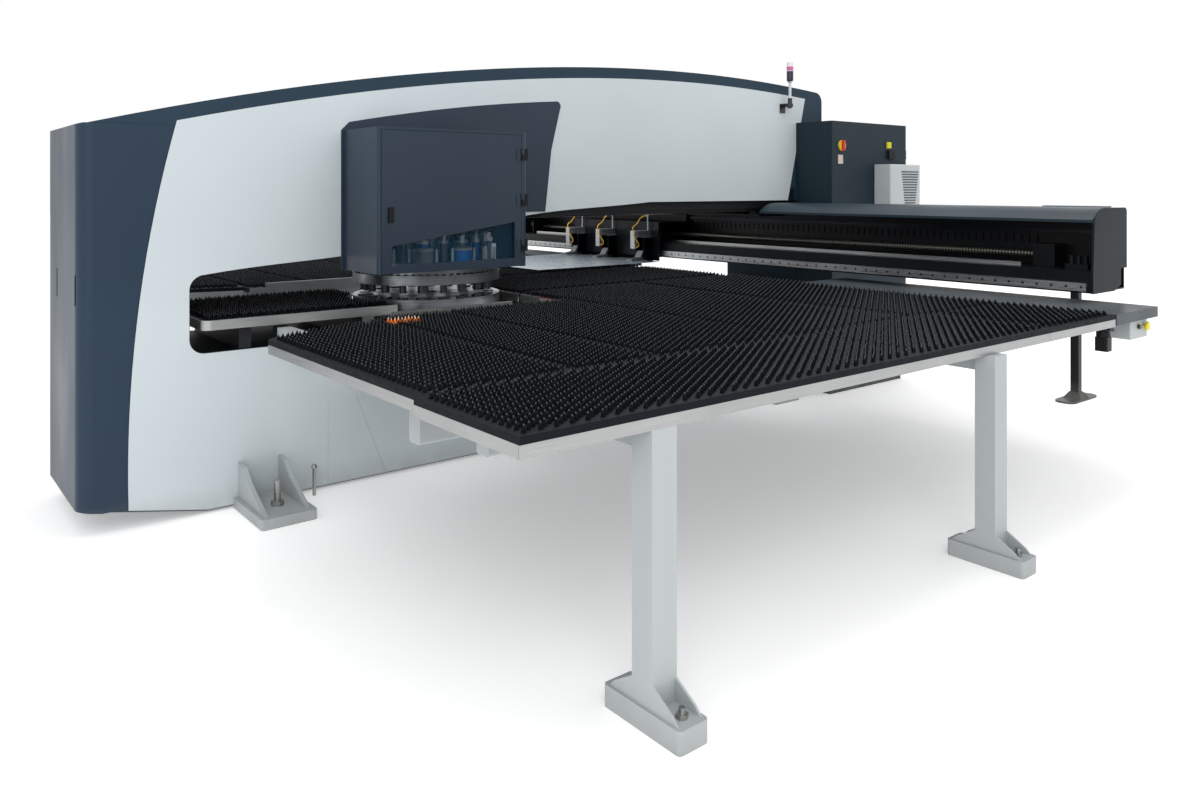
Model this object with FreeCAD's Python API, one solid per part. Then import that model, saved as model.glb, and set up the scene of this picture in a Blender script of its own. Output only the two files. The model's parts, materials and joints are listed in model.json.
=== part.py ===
"""Turret punch press with brush tables, a moving carriage beam and three sheet clamps.

Machine axes while modelling, in millimetres:
  X across the frame, along the carriage beam; +X is the loading side with the head door
  Y along the frame; Y = 0 at the punch axis, the carriage beam is parked at +Y
  Z up from the floor
Every shape is moved at the end so that the origin is the middle of the footprint, on the floor.
"""
import FreeCAD, Part
import math
import os

V = FreeCAD.Vector

# ---------------------------------------------------------------- driving dimensions
# main frame, a closed O-frame seen from the side
FRAME_HALF = 396.0            # half width of the welded frame
SKIN = 4.0                    # side panels and covers
FRAME_REAR = -2246.0
FRAME_FRONT = 3148.0
FRAME_REAR_TOP = 1890.0
FRAME_CROWN = (16.0, 2327.0)  # one point of the crowned top edge
FRAME_FRONT_TOP = 2373.0
FRAME_BASE = 12.0             # underside of the frame above the floor
PLATE = 40.0                  # frame wall thickness

# light side panels
PANEL_DROP = 72.0             # below the crowned top edge
PANEL_REAR_TOP = -1825.0
PANEL_REAR_MID = -1989.0
PANEL_REAR_LOW = -2034.0
PANEL_FRONT_TOP = 2928.0
PANEL_FRONT_LOW = 2717.0

# throat that the sheet and the beam pass through
THROAT_REAR = -1766.0
THROAT_FRONT = 2870.0
THROAT_FLOOR = 790.0
THROAT_CORNER = 70.0
THROAT_ROOF = [(-1222, 1213), (-1002, 1229), (-400, 1325), (352, 1442), (799, 1471), (1244, 1500)]

# heights of the sheet line
DIE_TOP = 981.0
SHEET_BOTTOM = 985.0
SHEET_T = 2.0
BRISTLE_TOP = 976.0
BOARD_TOP = 953.0
BOARD_BOTTOM = 930.0
TRIM_BOTTOM = 892.0

# turrets
TURRET_X = 140.0
TURRET_Y = -340.0
TURRET_R = 435.0
TURRET_BODY_R = 412.0
STATIONS = 20
STATION_R = math.hypot(TURRET_X, TURRET_Y)
STATION_BORES = (38.0, 24.0, 30.0, 24.0)   # repeats round the turret
UPPER_BOTTOM = 1053.0
UPPER_RIM_TOP = 1107.0
UPPER_TOP = 1180.0
HUB_TOP = 1325.0
TOOL_SHOULDER = 1285.0
TOOL_TOP = 1330.0
TOOL_BOTTOM = 1004.0
LOWER_TOP = 972.0
LOWER_BOTTOM = 902.0
SPINDLE_R = 60.0
RUNNING = 0.05                # radial running clearance of shafts

# punch ram
RAM_R = 45.0
RAM_TIP = 1370.0
POCKET_TOP = 1460.0

# head housing
HEAD_X0 = 400.0
HEAD_X1 = 834.0
HEAD_Y0 = -980.0
HEAD_Y1 = -77.0
HEAD_Z0 = 1160.0
HEAD_Z1 = 1912.0
HEAD_EDGE_R = 34.0
DOOR_Y0 = -967.0
DOOR_Y1 = -121.0
DOOR_T = 24.0

# carriage beam, parked
BEAM_HALF = 2868.0
BEAM_FRONT = 2325.0
BEAM_BACK = 2762.0
BEAM_BOTTOM = 1010.0
BEAM_SHELF = 1134.0
BEAM_SPINE = 2640.0
BEAM_SPINE_TOP = 1440.0
BEAM_NECK_HALF = 425.0        # the part of the beam inside the frame is lower
BEAM_NECK_TOP = 1380.0
HOOD_TOP = 1485.0
HOOD_LIP = 1405.0
CAP_T = 12.0
SCREW_R = 20.0
X_SCREW = (2560.0, 1200.0)    # Y, Z of the screw along X
Y_SCREW_Z = 1420.0
Y_RAIL_X = 300.0
Y_RAIL_Z = (1418.0, 1440.0)
LOWER_RAIL = (2303.0, 2325.0, 1021.0, 1067.0)   # Y0, Y1, Z0, Z1
UPPER_RAIL = (2618.0, 2640.0, 1330.0, 1352.0)
SHELF_BAR = (2424.0, 2452.0, 1134.0, 1156.0)
X_SCREW_END = 2520.0
RAIL_GAP = 0.3

# clamps, parked
CLAMP_X = (-1662.0, -1222.0, -751.0)
JAW_PIVOT = (2190.0, 1045.0)  # Y, Z
PIN_R = 8.0

# tables
TABLE_OUTER = 3140.0
TABLE_SPLIT = 2553.0          # joint between the inner and the outer table
TABLE_REAR = -1689.0
TABLE_REAR_INNER = -1660.0
TABLE_FRONT = 1970.0
TABLE_JOINT = 1247.0
TABLE_INNER = 900.0
THROAT_TABLE_HALF = 450.0
PLATE_FRONT = 2500.0
LOAD_PLATE_INNER = 1100.0
TURRET_GAP = 20.0
TABLE_THROAT = 120.0          # where the tables ahead of the turret begin
THROAT_TABLE_REAR = -1720.0
THROAT_RADIUS = 40.0
EDGE_BOTTOM = 905.0
TRIM_T = 5.0

# cabinet beside the frame
CAB_X = (402.0, 750.0)
CAB_Y = (2815.0, 3818.0)
CAB_Z = (120.0, 2120.0)

# console pedestal
POST_X = 1981.0
POST_Y = 4163.0


# ---------------------------------------------------------------- small helpers
def box(x0, x1, y0, y1, z0, z1):
    return Part.makeBox(x1 - x0, y1 - y0, z1 - z0, V(x0, y0, z0))


def rod(x, y, z, r, length, axis="z"):
    direction = {"x": V(1, 0, 0), "y": V(0, 1, 0), "z": V(0, 0, 1)}[axis]
    return Part.makeCylinder(r, length, V(x, y, z), direction)


def tube(x, y, z, r_out, r_in, length, axis="z"):
    return rod(x, y, z, r_out, length, axis).cut(rod(x, y, z, r_in, length, axis))


def cone(x, y, z, r0, r1, height):
    return Part.makeCone(r0, r1, height, V(x, y, z), V(0, 0, 1))


def fuse(shapes):
    joined = shapes[0].multiFuse(shapes[1:]) if len(shapes) > 1 else shapes[0]
    return joined.removeSplitter()


def cut(shape, tools):
    for tool in tools:
        shape = shape.cut(tool)
    return shape


def mirror_x(shape):
    return shape.mirror(V(0, 0, 0), V(1, 0, 0))


def both_sides(shapes):
    return shapes + [mirror_x(s) for s in shapes]


def wire_yz(edges_points, x):
    """Closed wire in the plane X = x. Each item is a point; a triple of points is an arc."""
    edges = []
    for item in edges_points:
        points = [V(x, y, z) for y, z in item]
        if len(points) == 2:
            edges.append(Part.LineSegment(points[0], points[1]).toShape())
        else:
            edges.append(Part.Arc(points[0], points[1], points[2]).toShape())
    return Part.Wire(edges)


def prism_yz(points, x0, x1):
    """Straight-sided outline in Y and Z, pushed from x0 to x1."""
    closed = [V(x0, y, z) for y, z in points]
    closed.append(closed[0])
    return Part.Face(Part.makePolygon(closed)).extrude(V(x1 - x0, 0, 0))


def prism_xy(points, z0, z1):
    closed = [V(x, y, z0) for x, y in points]
    closed.append(closed[0])
    return Part.Face(Part.makePolygon(closed)).extrude(V(0, 0, z1 - z0))


def prism_xz(points, y0, y1):
    closed = [V(x, y0, z) for x, z in points]
    closed.append(closed[0])
    return Part.Face(Part.makePolygon(closed)).extrude(V(0, y1 - y0, 0))


def round_edges(shape, radius, wanted):
    """Fillet the straight edges whose middle passes the test."""
    edges = [e for e in shape.Edges if wanted(e.CenterOfMass, e)]
    return shape.makeFillet(radius, edges) if edges else shape


def runs_along(edge, axis):
    ends = edge.Vertexes
    if len(ends) != 2:
        return False
    step = ends[1].Point.sub(ends[0].Point)
    size = (abs(step.x), abs(step.y), abs(step.z))
    return size["xyz".index(axis)] > 0.999 * step.Length


# ---------------------------------------------------------------- frame outlines
def crown_z(y):
    """Height of the crowned top edge of the frame, a circle through three points."""
    (y1, z1), (y2, z2), (y3, z3) = (FRAME_REAR, FRAME_REAR_TOP), FRAME_CROWN, (FRAME_FRONT, FRAME_FRONT_TOP)
    d = 2 * (y1 * (z2 - z3) + y2 * (z3 - z1) + y3 * (z1 - z2))
    s1, s2, s3 = y1 ** 2 + z1 ** 2, y2 ** 2 + z2 ** 2, y3 ** 2 + z3 ** 2
    cy = (s1 * (z2 - z3) + s2 * (z3 - z1) + s3 * (z1 - z2)) / d
    cz = (s1 * (y3 - y2) + s2 * (y1 - y3) + s3 * (y2 - y1)) / d
    radius = math.hypot(y1 - cy, z1 - cz)
    return cz + math.sqrt(radius ** 2 - (y - cy) ** 2)


def frame_outline(inset, x0, x1):
    """Solid of the frame's side view, set in from the outer faces by a distance."""
    rear, front = FRAME_REAR + inset, FRAME_FRONT - inset
    base = FRAME_BASE + inset
    toe = FRAME_REAR + 560.0 + inset
    middle = 0.5 * (rear + front)
    edges = [
        ((toe, base), (front, base)),
        ((front, base), (front, crown_z(front) - inset)),
        ((front, crown_z(front) - inset), (middle, crown_z(middle) - inset), (rear, crown_z(rear) - inset)),
        ((rear, crown_z(rear) - inset), (rear, 125.0 + inset)),
        ((rear, 125.0 + inset), (toe, base)),
    ]
    solid = Part.Face(wire_yz(edges, x0)).extrude(V(x1 - x0, 0, 0))
    def upper_front(c, e):
        return runs_along(e, "x") and c.y > front - 1 and c.z > 2000

    return round_edges(solid, 80.0 - inset, upper_front)


def throat_cutter(grow, x0, x1):
    """The throat, as a solid to cut away; grow makes it larger all round."""
    r = THROAT_CORNER + grow
    rear, front, floor = THROAT_REAR - grow, THROAT_FRONT + grow, THROAT_FLOOR - grow
    k = r * (1 - math.sqrt(0.5))
    roof = [(y, z + grow) for y, z in THROAT_ROOF]
    start = (rear + r, 1171.0 + grow)
    curve = Part.BSplineCurve()
    curve.interpolate([V(x0, y, z) for y, z in [start] + roof])
    line = [
        ((rear, floor + r), (rear + k, floor + k), (rear + r, floor)),
        ((rear + r, floor), (front, floor)),
        ((front, floor), (front, roof[-1][1])),
        ((front, roof[-1][1]), roof[-1]),
    ]
    edges = [e for e in wire_yz(line, x0).Edges]
    edges.append(curve.toShape())
    left = [
        (start, (rear + k, 1171.0 + grow - k), (rear, 1171.0 + grow - r)),
        ((rear, 1171.0 + grow - r), (rear, floor + r)),
    ]
    edges += wire_yz(left, x0).Edges
    wire = Part.Wire(Part.__sortEdges__(edges))
    return Part.Face(wire).extrude(V(x1 - x0, 0, 0))


def light_panel_region(x0, x1, inset=0.0):
    """Side panel outline: bowed rear edge, crowned top edge, raked front edge."""
    def top(y):
        return (y, crown_z(y) - PANEL_DROP - inset)

    rear_top = top(PANEL_REAR_TOP + inset)
    front_top = top(PANEL_FRONT_TOP - inset)
    rear_low = (PANEL_REAR_LOW + inset, 0.0)
    front_low = PANEL_FRONT_LOW - inset
    edges = [
        (rear_low, (PANEL_REAR_MID + inset, 1073.0), rear_top),
        (rear_top, top(800.0), front_top),
        (front_top, (front_low, 1505.0)),
        ((front_low, 1505.0), (front_low, 0.0)),
        ((front_low, 0.0), rear_low),
    ]
    return Part.Face(wire_yz(edges, x0)).extrude(V(x1 - x0, 0, 0))


def turret_pocket(grow=0.0):
    return box(-340 - grow, FRAME_HALF + 60, -840 - grow, 150 + grow, 1000, POCKET_TOP + grow)


# ---------------------------------------------------------------- frame and covers
def make_press_frame():
    frame = frame_outline(0.0, -FRAME_HALF, FRAME_HALF)
    frame = round_edges(frame, 60.0, lambda c, e: runs_along(e, "z") and c.y < FRAME_REAR + 1)
    wide = FRAME_HALF + 50
    inside = FRAME_HALF - PLATE
    hollow = frame_outline(PLATE, -inside, inside)
    around_throat = throat_cutter(PLATE, -wide, wide)
    hollow = hollow.cut(around_throat)
    ribs = [box(-inside, inside, y, y + 30, 0, 2500) for y in (-1100, 450, 1250, 2050)]
    ram_wall = [box(-inside, inside, -880, 190, POCKET_TOP, POCKET_TOP + 60)]
    pocket_walls = [turret_pocket(PLATE)]
    hollow = cut(hollow, ribs + ram_wall + pocket_walls)
    frame = frame.cut(throat_cutter(0.0, -wide, wide))
    frame = frame.cut(hollow)
    frame = frame.cut(turret_pocket())
    holes = [
        rod(0, 0, POCKET_TOP - 5, RAM_R + 30, 80),
        rod(TURRET_X, TURRET_Y, THROAT_FLOOR - 60, 90, 80),
    ]
    return [cut(frame, holes)]


def seam(a, b, width, x0, x1):
    """Narrow groove along a straight line in Y and Z."""
    length = math.hypot(b[0] - a[0], b[1] - a[1])
    ny, nz = -(b[1] - a[1]) / length * width / 2, (b[0] - a[0]) / length * width / 2
    corners = [(a[0] + ny, a[1] + nz), (b[0] + ny, b[1] + nz)]
    corners += [(b[0] - ny, b[1] - nz), (a[0] - ny, a[1] - nz)]
    return prism_yz(corners, x0, x1)


def make_side_panel():
    """Light side panel with the throat, the turret opening and the joints of its lower sheets."""
    x0, x1 = FRAME_HALF, FRAME_HALF + SKIN
    panel = light_panel_region(x0, x1)
    panel = panel.common(frame_outline(6.0, x0, x1))
    panel = panel.cut(throat_cutter(3.0, x0 - 5, x1 + 5))
    panel = panel.cut(box(x0 - 5, x1 + 5, -845, 155, 1000, POCKET_TOP + 5))
    joints = [seam((-1070, 0), (-1070, 458), 4, x1 - 2, x1 + 1)]
    joints.append(seam((-911, 467), (-728, 0), 4, x1 - 2, x1 + 1))
    panel = cut(panel, joints)
    return max(panel.Solids, key=lambda s: s.Volume)


def make_rear_end_cover():
    """Folded cover round the rear end of the frame, with two recessed pull slots."""
    x1 = FRAME_HALF + SKIN
    outer = frame_outline(-SKIN, -x1, x1)
    outer = round_edges(outer, 60.0 + SKIN, lambda c, e: runs_along(e, "z") and c.y < FRAME_REAR)
    inner = frame_outline(0.0, -FRAME_HALF, FRAME_HALF)
    inner = round_edges(inner, 60.0, lambda c, e: runs_along(e, "z") and c.y < FRAME_REAR + 1)
    zone = box(-x1 - 5, x1 + 5, FRAME_REAR - 20, PANEL_REAR_TOP + 40, 100, 1900)
    shell = outer.cut(inner).common(zone)
    shell = shell.cut(light_panel_region(-x1 - 10, x1 + 10, -3.0))
    slots = []
    for x in (-130, 350):
        slots.append(box(x - 12, x + 12, FRAME_REAR - 20, FRAME_REAR + 1, 1060, 1200))
    shell = cut(shell, slots)
    return [max(shell.Solids, key=lambda s: s.Volume)]


FOOT_X0 = FRAME_HALF + SKIN
FEET = ((-1426.0, 414.6), (2380.0, 280.0))     # Y and reach of each floor bracket
STUD_R = 15.0


def make_frame_feet():
    """Welded floor brackets, each with a base plate and two raked gussets."""
    feet = []
    for y, reach in FEET:
        base = box(FOOT_X0, FOOT_X0 + reach, y - 134, y + 134, 0, 50)
        base = round_edges(base, 18.0, lambda c, e: runs_along(e, "z") and c.x > FOOT_X0 + 100)
        webs = []
        for side in (-1, 1):
            y0 = y + side * 102 - 11
            outline = [(FOOT_X0, 50), (FOOT_X0 + 0.91 * reach, 50), (FOOT_X0 + 0.38 * reach, 150),
                       (FOOT_X0 + 0.17 * reach, 216), (FOOT_X0, 225)]
            webs.append(prism_xz(outline, y0, y0 + 22))
        foot = fuse([base] + webs)
        feet.append(foot.cut(rod(FOOT_X0 + 0.58 * reach, y, -1, STUD_R + 2, 60)))
    return both_sides(feet)


def make_floor_screws():
    """Levelling screws of the brackets and hold-down screws of the leg bases."""
    screws = []
    for y, reach in FEET:
        x = FOOT_X0 + 0.58 * reach
        screws.append(fuse([rod(x, y, 0, STUD_R, 172), hex_prism(x, y, 50, 27.0, 24)]))
    screws.append(fuse([rod(470, -1173, 0, 9.0, 145), cone(470, -1173, 145, 17, 9, 16)]))
    for x, y in LEGS:
        screws.append(fuse([rod(x + 118, y, 0, 9.5, 100), hex_prism(x + 118, y, 70, 17.0, 12)]))
    return both_sides(screws)


def hex_prism(x, y, z, r, height):
    corner = r / math.cos(math.pi / 6)
    angles = [k * math.pi / 3 for k in range(6)]
    points = [(x + corner * math.cos(t), y + corner * math.sin(t)) for t in angles]
    return prism_xy(points, z, z + height)


# ---------------------------------------------------------------- head
def make_head_housing():
    """Sheet housing over the turret side of the frame, open to the frame and to its door."""
    outer = box(HEAD_X0, HEAD_X1, HEAD_Y0, HEAD_Y1, HEAD_Z0, HEAD_Z1)
    outer = round_edges(outer, HEAD_EDGE_R, lambda c, e: runs_along(e, "z") and c.x > HEAD_X1 - 1)
    inner = box(HEAD_X0 - 1, HEAD_X1 - SKIN, HEAD_Y0 + SKIN, HEAD_Y1 - SKIN, HEAD_Z0 + SKIN, HEAD_Z1 - SKIN)
    inner = round_edges(inner, HEAD_EDGE_R - SKIN, lambda c, e: runs_along(e, "z") and c.x > HEAD_X1 - 6)
    shell = outer.cut(inner)
    floor_hole = rod(TURRET_X, TURRET_Y, HEAD_Z0 - 1, TURRET_R + 22, 10)
    doorway = box(HEAD_X1 - 60, HEAD_X1 + 5, DOOR_Y0 - 2, DOOR_Y1 + 2, HEAD_Z0 - 1, HEAD_Z1 - 14)
    turret_notch = box(HEAD_X0 - 1, HEAD_X0 + 106, HEAD_Y1 - 10, HEAD_Y1 + 1, HEAD_Z0 - 1, TOOL_TOP + 15)
    shell = cut(shell, [floor_hole, doorway, turret_notch])
    y0, y1 = HEAD_Y0 + SKIN, HEAD_Y1 - SKIN
    frame_bar = box(HEAD_X1 - 40, HEAD_X1 - DOOR_T - 2, y0, y1, HEAD_Z0, HEAD_Z0 + SKIN)
    outline = [
        ((-997, HEAD_Z0), (-997, 1912)),
        ((-997, 1912), (-951, 1958)),
        ((-951, 1958), (-240, 2078), (430, 2150)),
        ((430, 2150), (465, 2140), (468, 2105)),
        ((468, 2105), (399, 1841)),
        ((399, 1841), (352, 1452)),
        ((352, 1452), (160, 1452)),
        ((160, 1452), (160, HEAD_Z0)),
        ((160, HEAD_Z0), (-997, HEAD_Z0)),
    ]
    back = Part.Face(wire_yz(outline, HEAD_X0)).extrude(V(SKIN, 0, 0))
    back = back.cut(box(HEAD_X0 - 1, HEAD_X0 + SKIN + 1, HEAD_Y0 + SKIN, 145, HEAD_Z0 - 1, POCKET_TOP))
    back = back.cut(box(HEAD_X0 - 1, HEAD_X0 + SKIN + 1, y0, y1, HEAD_Z0 - 1, HEAD_Z1 - SKIN))
    whole = fuse([shell, frame_bar, back])
    return [max(whole.Solids, key=lambda s: s.Volume)]


HINGE_Z = (1788.0, 1533.0, 1280.0)
HINGE_X = HEAD_X1 + 9.0
HINGE_Y = DOOR_Y1 + 4.0


def make_head_hinges():
    """Fixed hinge halves: a leaf on the housing and the lower knuckle with its pin."""
    hinges = []
    for z in HINGE_Z:
        leaf = box(HEAD_X1, HEAD_X1 + 4, HINGE_Y + 11, HEAD_Y1 - 3, z - 33, z + 33)
        knuckle = rod(HINGE_X, HINGE_Y, z - 33, 8.5, 32)
        web = box(HEAD_X1, HINGE_X, HINGE_Y, HINGE_Y + 14, z - 33, z - 1)
        pin = rod(HINGE_X, HINGE_Y, z - 1, 4.0, 34)
        hinges.append(fuse([leaf, knuckle, web, pin]))
    return hinges


def door_window(x0, x1, grow=0.0):
    points = [(-912 - grow, 1204 - grow), (-164 + grow, 1209 - grow), (-164 + grow, 1410 + grow),
              (-868, 1309 + grow), (-912 - grow, 1300 + grow)]
    return prism_yz(points, x0, x1)


def make_head_door():
    """Folded door pan with a tool viewing window and its three hinge knuckles."""
    x0, x1 = HEAD_X1 - DOOR_T, HEAD_X1
    z0, z1 = HEAD_Z0 + 2, HEAD_Z1 - 16
    pan = box(x0, x1, DOOR_Y0, DOOR_Y1, z0, z1)
    pan = pan.cut(box(x0 - 1, x1 - 3, DOOR_Y0 + 3, DOOR_Y1 - 3, z0 + 3, z1 - 3))
    rim = door_window(x0 + 8, x1, 14.0).cut(door_window(x0, x1 + 1, 0.0))
    pan = pan.cut(door_window(x0 - 1, x1 + 1, 0.0))
    parts = [pan, rim]
    for z in HINGE_Z:
        parts.append(box(HEAD_X1 - 1, HEAD_X1 + 4, DOOR_Y1 - 34, DOOR_Y1 - 4, z - 33, z + 33))
        parts.append(box(HEAD_X1, HINGE_X, HINGE_Y - 12, HINGE_Y, z + 1, z + 33))
        parts.append(rod(HINGE_X, HINGE_Y, z + 1, 8.5, 32))
    door = fuse(parts)
    for z in HINGE_Z:
        door = door.cut(rod(HINGE_X, HINGE_Y, z, 4.0 + RUNNING, 34))
    door = door.cut(rod(HEAD_X1 - 10, LATCH_Y, LATCH_Z, LATCH_R + 0.3, 20, "x"))
    return [max(door.Solids, key=lambda s: s.Volume)]


def make_door_glass():
    return [door_window(HEAD_X1 - DOOR_T + 2, HEAD_X1 - DOOR_T + 7.9, 10.0)]


LATCH_Y = -920.0
LATCH_Z = 1482.0
LATCH_R = 11.0


def make_door_latch():
    """Swing handle: a spindle through the door with a hanging grip and an inner cam."""
    spindle = rod(HEAD_X1 - 12, LATCH_Y, LATCH_Z, LATCH_R, 24, "x")
    grip = box(HEAD_X1 + 1, HEAD_X1 + 17, LATCH_Y - 13, LATCH_Y + 13, LATCH_Z - 58, LATCH_Z + 20)
    face = HEAD_X1 + 10
    grip = round_edges(grip, 6.0, lambda c, e: runs_along(e, "x") or runs_along(e, "z") and c.x > face)
    cam = box(HEAD_X1 - 12, HEAD_X1 - 7, LATCH_Y - 10, LATCH_Y + 10, LATCH_Z - 40, LATCH_Z + 10)
    return [fuse([spindle, grip, cam])]


# ---------------------------------------------------------------- turrets and ram
def station_places():
    """Centre and bore radius of each station; station 0 is under the ram."""
    start = math.atan2(-TURRET_Y, -TURRET_X)
    for k in range(STATIONS):
        a = start + 2 * math.pi * k / STATIONS
        yield TURRET_X + STATION_R * math.cos(a), TURRET_Y + STATION_R * math.sin(a), STATION_BORES[k % 4]


def make_upper_turret():
    rim = rod(TURRET_X, TURRET_Y, UPPER_BOTTOM, TURRET_R, UPPER_RIM_TOP - UPPER_BOTTOM)
    body = rod(TURRET_X, TURRET_Y, UPPER_RIM_TOP, TURRET_BODY_R, UPPER_TOP - UPPER_RIM_TOP)
    hub = rod(TURRET_X, TURRET_Y, UPPER_TOP - 10, 120, HUB_TOP - UPPER_TOP + 10)
    turret = fuse([rim, body, hub])
    bores = [rod(x, y, UPPER_BOTTOM - 1, r, 400) for x, y, r in station_places()]
    bores.append(rod(TURRET_X, TURRET_Y, UPPER_BOTTOM - 1, SPINDLE_R + RUNNING, 400))
    bores.append(tube(TURRET_X, TURRET_Y, UPPER_BOTTOM + 60, 300, 130, 400))
    return [turret.cut(Part.makeCompound(bores))]


def make_punch_tools():
    """One sprung tool in each upper station: body, head and stripper nose."""
    tools = []
    for x, y, r in station_places():
        body = rod(x, y, UPPER_BOTTOM + 14, r - 0.2, TOOL_SHOULDER - UPPER_BOTTOM - 14)
        head = rod(x, y, TOOL_SHOULDER, r + 5, 16)
        cap = rod(x, y, TOOL_SHOULDER + 16, 0.72 * r, TOOL_TOP - TOOL_SHOULDER - 16)
        nose = rod(x, y, TOOL_BOTTOM, 0.82 * r, UPPER_BOTTOM + 20 - TOOL_BOTTOM)
        tools.append(fuse([body, head, cap, nose]))
    return tools


def make_lower_turret():
    disc = rod(TURRET_X, TURRET_Y, LOWER_BOTTOM, TURRET_R, LOWER_TOP - LOWER_BOTTOM)
    hub = rod(TURRET_X, TURRET_Y, LOWER_BOTTOM - 30, 130, 40)
    turret = fuse([disc, hub])
    bores = [rod(x, y, LOWER_BOTTOM - 1, 0.7 * r, 100) for x, y, r in station_places()]
    bores.append(rod(TURRET_X, TURRET_Y, LOWER_BOTTOM - 40, SPINDLE_R + RUNNING, 200))
    return [turret.cut(Part.makeCompound(bores))]


def make_turret_dies():
    """Die rings bolted on the lower disc, level with the sheet line."""
    dies = []
    for x, y, r in station_places():
        ring = rod(x, y, LOWER_TOP, r + 6, DIE_TOP - LOWER_TOP)
        dies.append(ring.cut(rod(x, y, LOWER_TOP - 1, 0.45 * r, 20)))
    return dies


def make_turret_bearings():
    """Fixed spindles that carry both turrets: one hangs from the frame, one stands on it."""
    upper = fuse([rod(TURRET_X, TURRET_Y, UPPER_BOTTOM + 20, SPINDLE_R, POCKET_TOP - UPPER_BOTTOM - 20),
                  rod(TURRET_X, TURRET_Y, HUB_TOP + 20, 150, POCKET_TOP - HUB_TOP - 20)])
    lower = fuse([rod(TURRET_X, TURRET_Y, THROAT_FLOOR, SPINDLE_R, LOWER_TOP - THROAT_FLOOR - 4),
                  rod(TURRET_X, TURRET_Y, THROAT_FLOOR, 170, 60)])
    return [upper, lower]


def make_turret_drive():
    """Servo motor with its gearbox, on the frame wall above the turret."""
    gearbox = box(470, 640, -430, -250, 1560, 1700)
    bracket = box(400.4 + SKIN, 470, -460, -220, 1540, 1730)
    motor = fuse([rod(555, -340, 1700, 62, 150), box(505, 605, -390, -290, 1700, 1716)])
    shaft = rod(555, -340, 1500, 30, 60)
    return [fuse([bracket, gearbox, motor, shaft])]


def make_ram_cylinder():
    """Hydraulic cylinder over the punch axis, on the wall above the turret pocket."""
    z0 = POCKET_TOP + 60
    body = tube(0, 0, z0, 120, RAM_R + RUNNING, 330)
    cap = rod(0, 0, z0 + 330, 120, 40)
    flange = tube(0, 0, z0, 170, RAM_R + RUNNING, 40)
    block = box(-60, 60, -190, -110, z0 + 90, z0 + 260)
    cylinder = fuse([body, cap, flange, block])
    return [cylinder.cut(rod(0, 0, z0 - 1, RAM_R + RUNNING, 320))]


def make_ram():
    rod_part = rod(0, 0, RAM_TIP + 30, RAM_R, 360)
    striker = rod(0, 0, RAM_TIP, RAM_R + 8, 30)
    return [fuse([rod_part, striker])]


def make_die_anvil():
    """Block on the frame under the die that takes the punching load, with its slug hole."""
    block = box(-75, 75, -55, 75, THROAT_FLOOR, LOWER_BOTTOM - 1.0)
    return [block.cut(rod(0, 0, THROAT_FLOOR - 1, 30, 200))]


# ---------------------------------------------------------------- tables
LEGS = ((3094.0, -1174.0), (3130.0, 732.0))
SEAMS_Y = (-650.0, 190.0, 1030.0)


def table_boards():
    """Convex brush boards of the loading-side table, as lists of X, Y corners."""
    inner, split, beyond, outer = TABLE_INNER, TABLE_SPLIT, TABLE_SPLIT + 2, TABLE_OUTER
    first, second, third = SEAMS_Y
    return [
        [(1185, TABLE_REAR_INNER), (split, TABLE_REAR_INNER), (split, -1056), (1007, -1056), (1154, -1626)],
        [(inner, -1056), (split, -1056), (split, first), (inner, first)],
        [(inner, first), (split, first), (split, TABLE_THROAT), (inner, TABLE_THROAT)],
        [(470, TABLE_THROAT), (split, TABLE_THROAT), (split, third), (470, third)],
        [(470, third), (split, third), (split, TABLE_FRONT), (470, TABLE_FRONT)],
        [(beyond, TABLE_REAR), (outer, TABLE_REAR), (outer, second), (beyond, second)],
        [(beyond, second), (outer, second), (outer, TABLE_JOINT), (beyond, TABLE_JOINT)],
        [(beyond, TABLE_JOINT), (outer, TABLE_JOINT), (outer, TABLE_FRONT), (beyond, TABLE_FRONT)],
    ]


def shrink(points, gap):
    """Move each corner of a convex outline towards its middle by a gap along X and Y."""
    cx = sum(p[0] for p in points) / len(points)
    cy = sum(p[1] for p in points) / len(points)
    return [(x + math.copysign(gap, cx - x), y + math.copysign(gap, cy - y)) for x, y in points]


def make_brush_boards():
    return [prism_xy(shrink(b, 0.5), BOARD_BOTTOM, BOARD_TOP) for b in table_boards()]


def make_brush_fields():
    return [prism_xy(shrink(b, 16.0), BOARD_TOP, BRISTLE_TOP) for b in table_boards()]


def throat_board(z0, z1, inset):
    """Boards inside the throat: one behind the turret, cut round it, and one in front of it."""
    half = THROAT_TABLE_HALF - inset
    behind = box(-half, half, THROAT_TABLE_REAR + inset, -690 - inset, z0, z1)
    behind = round_edges(behind, THROAT_RADIUS - inset, lambda c, e: runs_along(e, "z") and c.y < -1600)
    behind = behind.cut(rod(TURRET_X, TURRET_Y, z0 - 1, TURRET_R + TURRET_GAP + inset, z1 - z0 + 2))
    ahead = box(-half, half, TABLE_THROAT + inset, TABLE_FRONT - inset, z0, z1)
    return [behind, ahead]


def make_throat_boards():
    return throat_board(BOARD_BOTTOM, BOARD_TOP, 0.0)


def make_throat_brushes():
    return throat_board(BOARD_TOP, BRISTLE_TOP, 14.0)


def trim_strip(a, b, z0=TRIM_BOTTOM, z1=BOARD_BOTTOM):
    """Steel strip along the line from a to b, with its thickness on the left of that line."""
    length = math.hypot(b[0] - a[0], b[1] - a[1])
    nx, ny = -(b[1] - a[1]) / length * TRIM_T, (b[0] - a[0]) / length * TRIM_T
    return prism_xy([a, b, (b[0] + nx, b[1] + ny), (a[0] + nx, a[1] + ny)], z0, z1)


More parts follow.
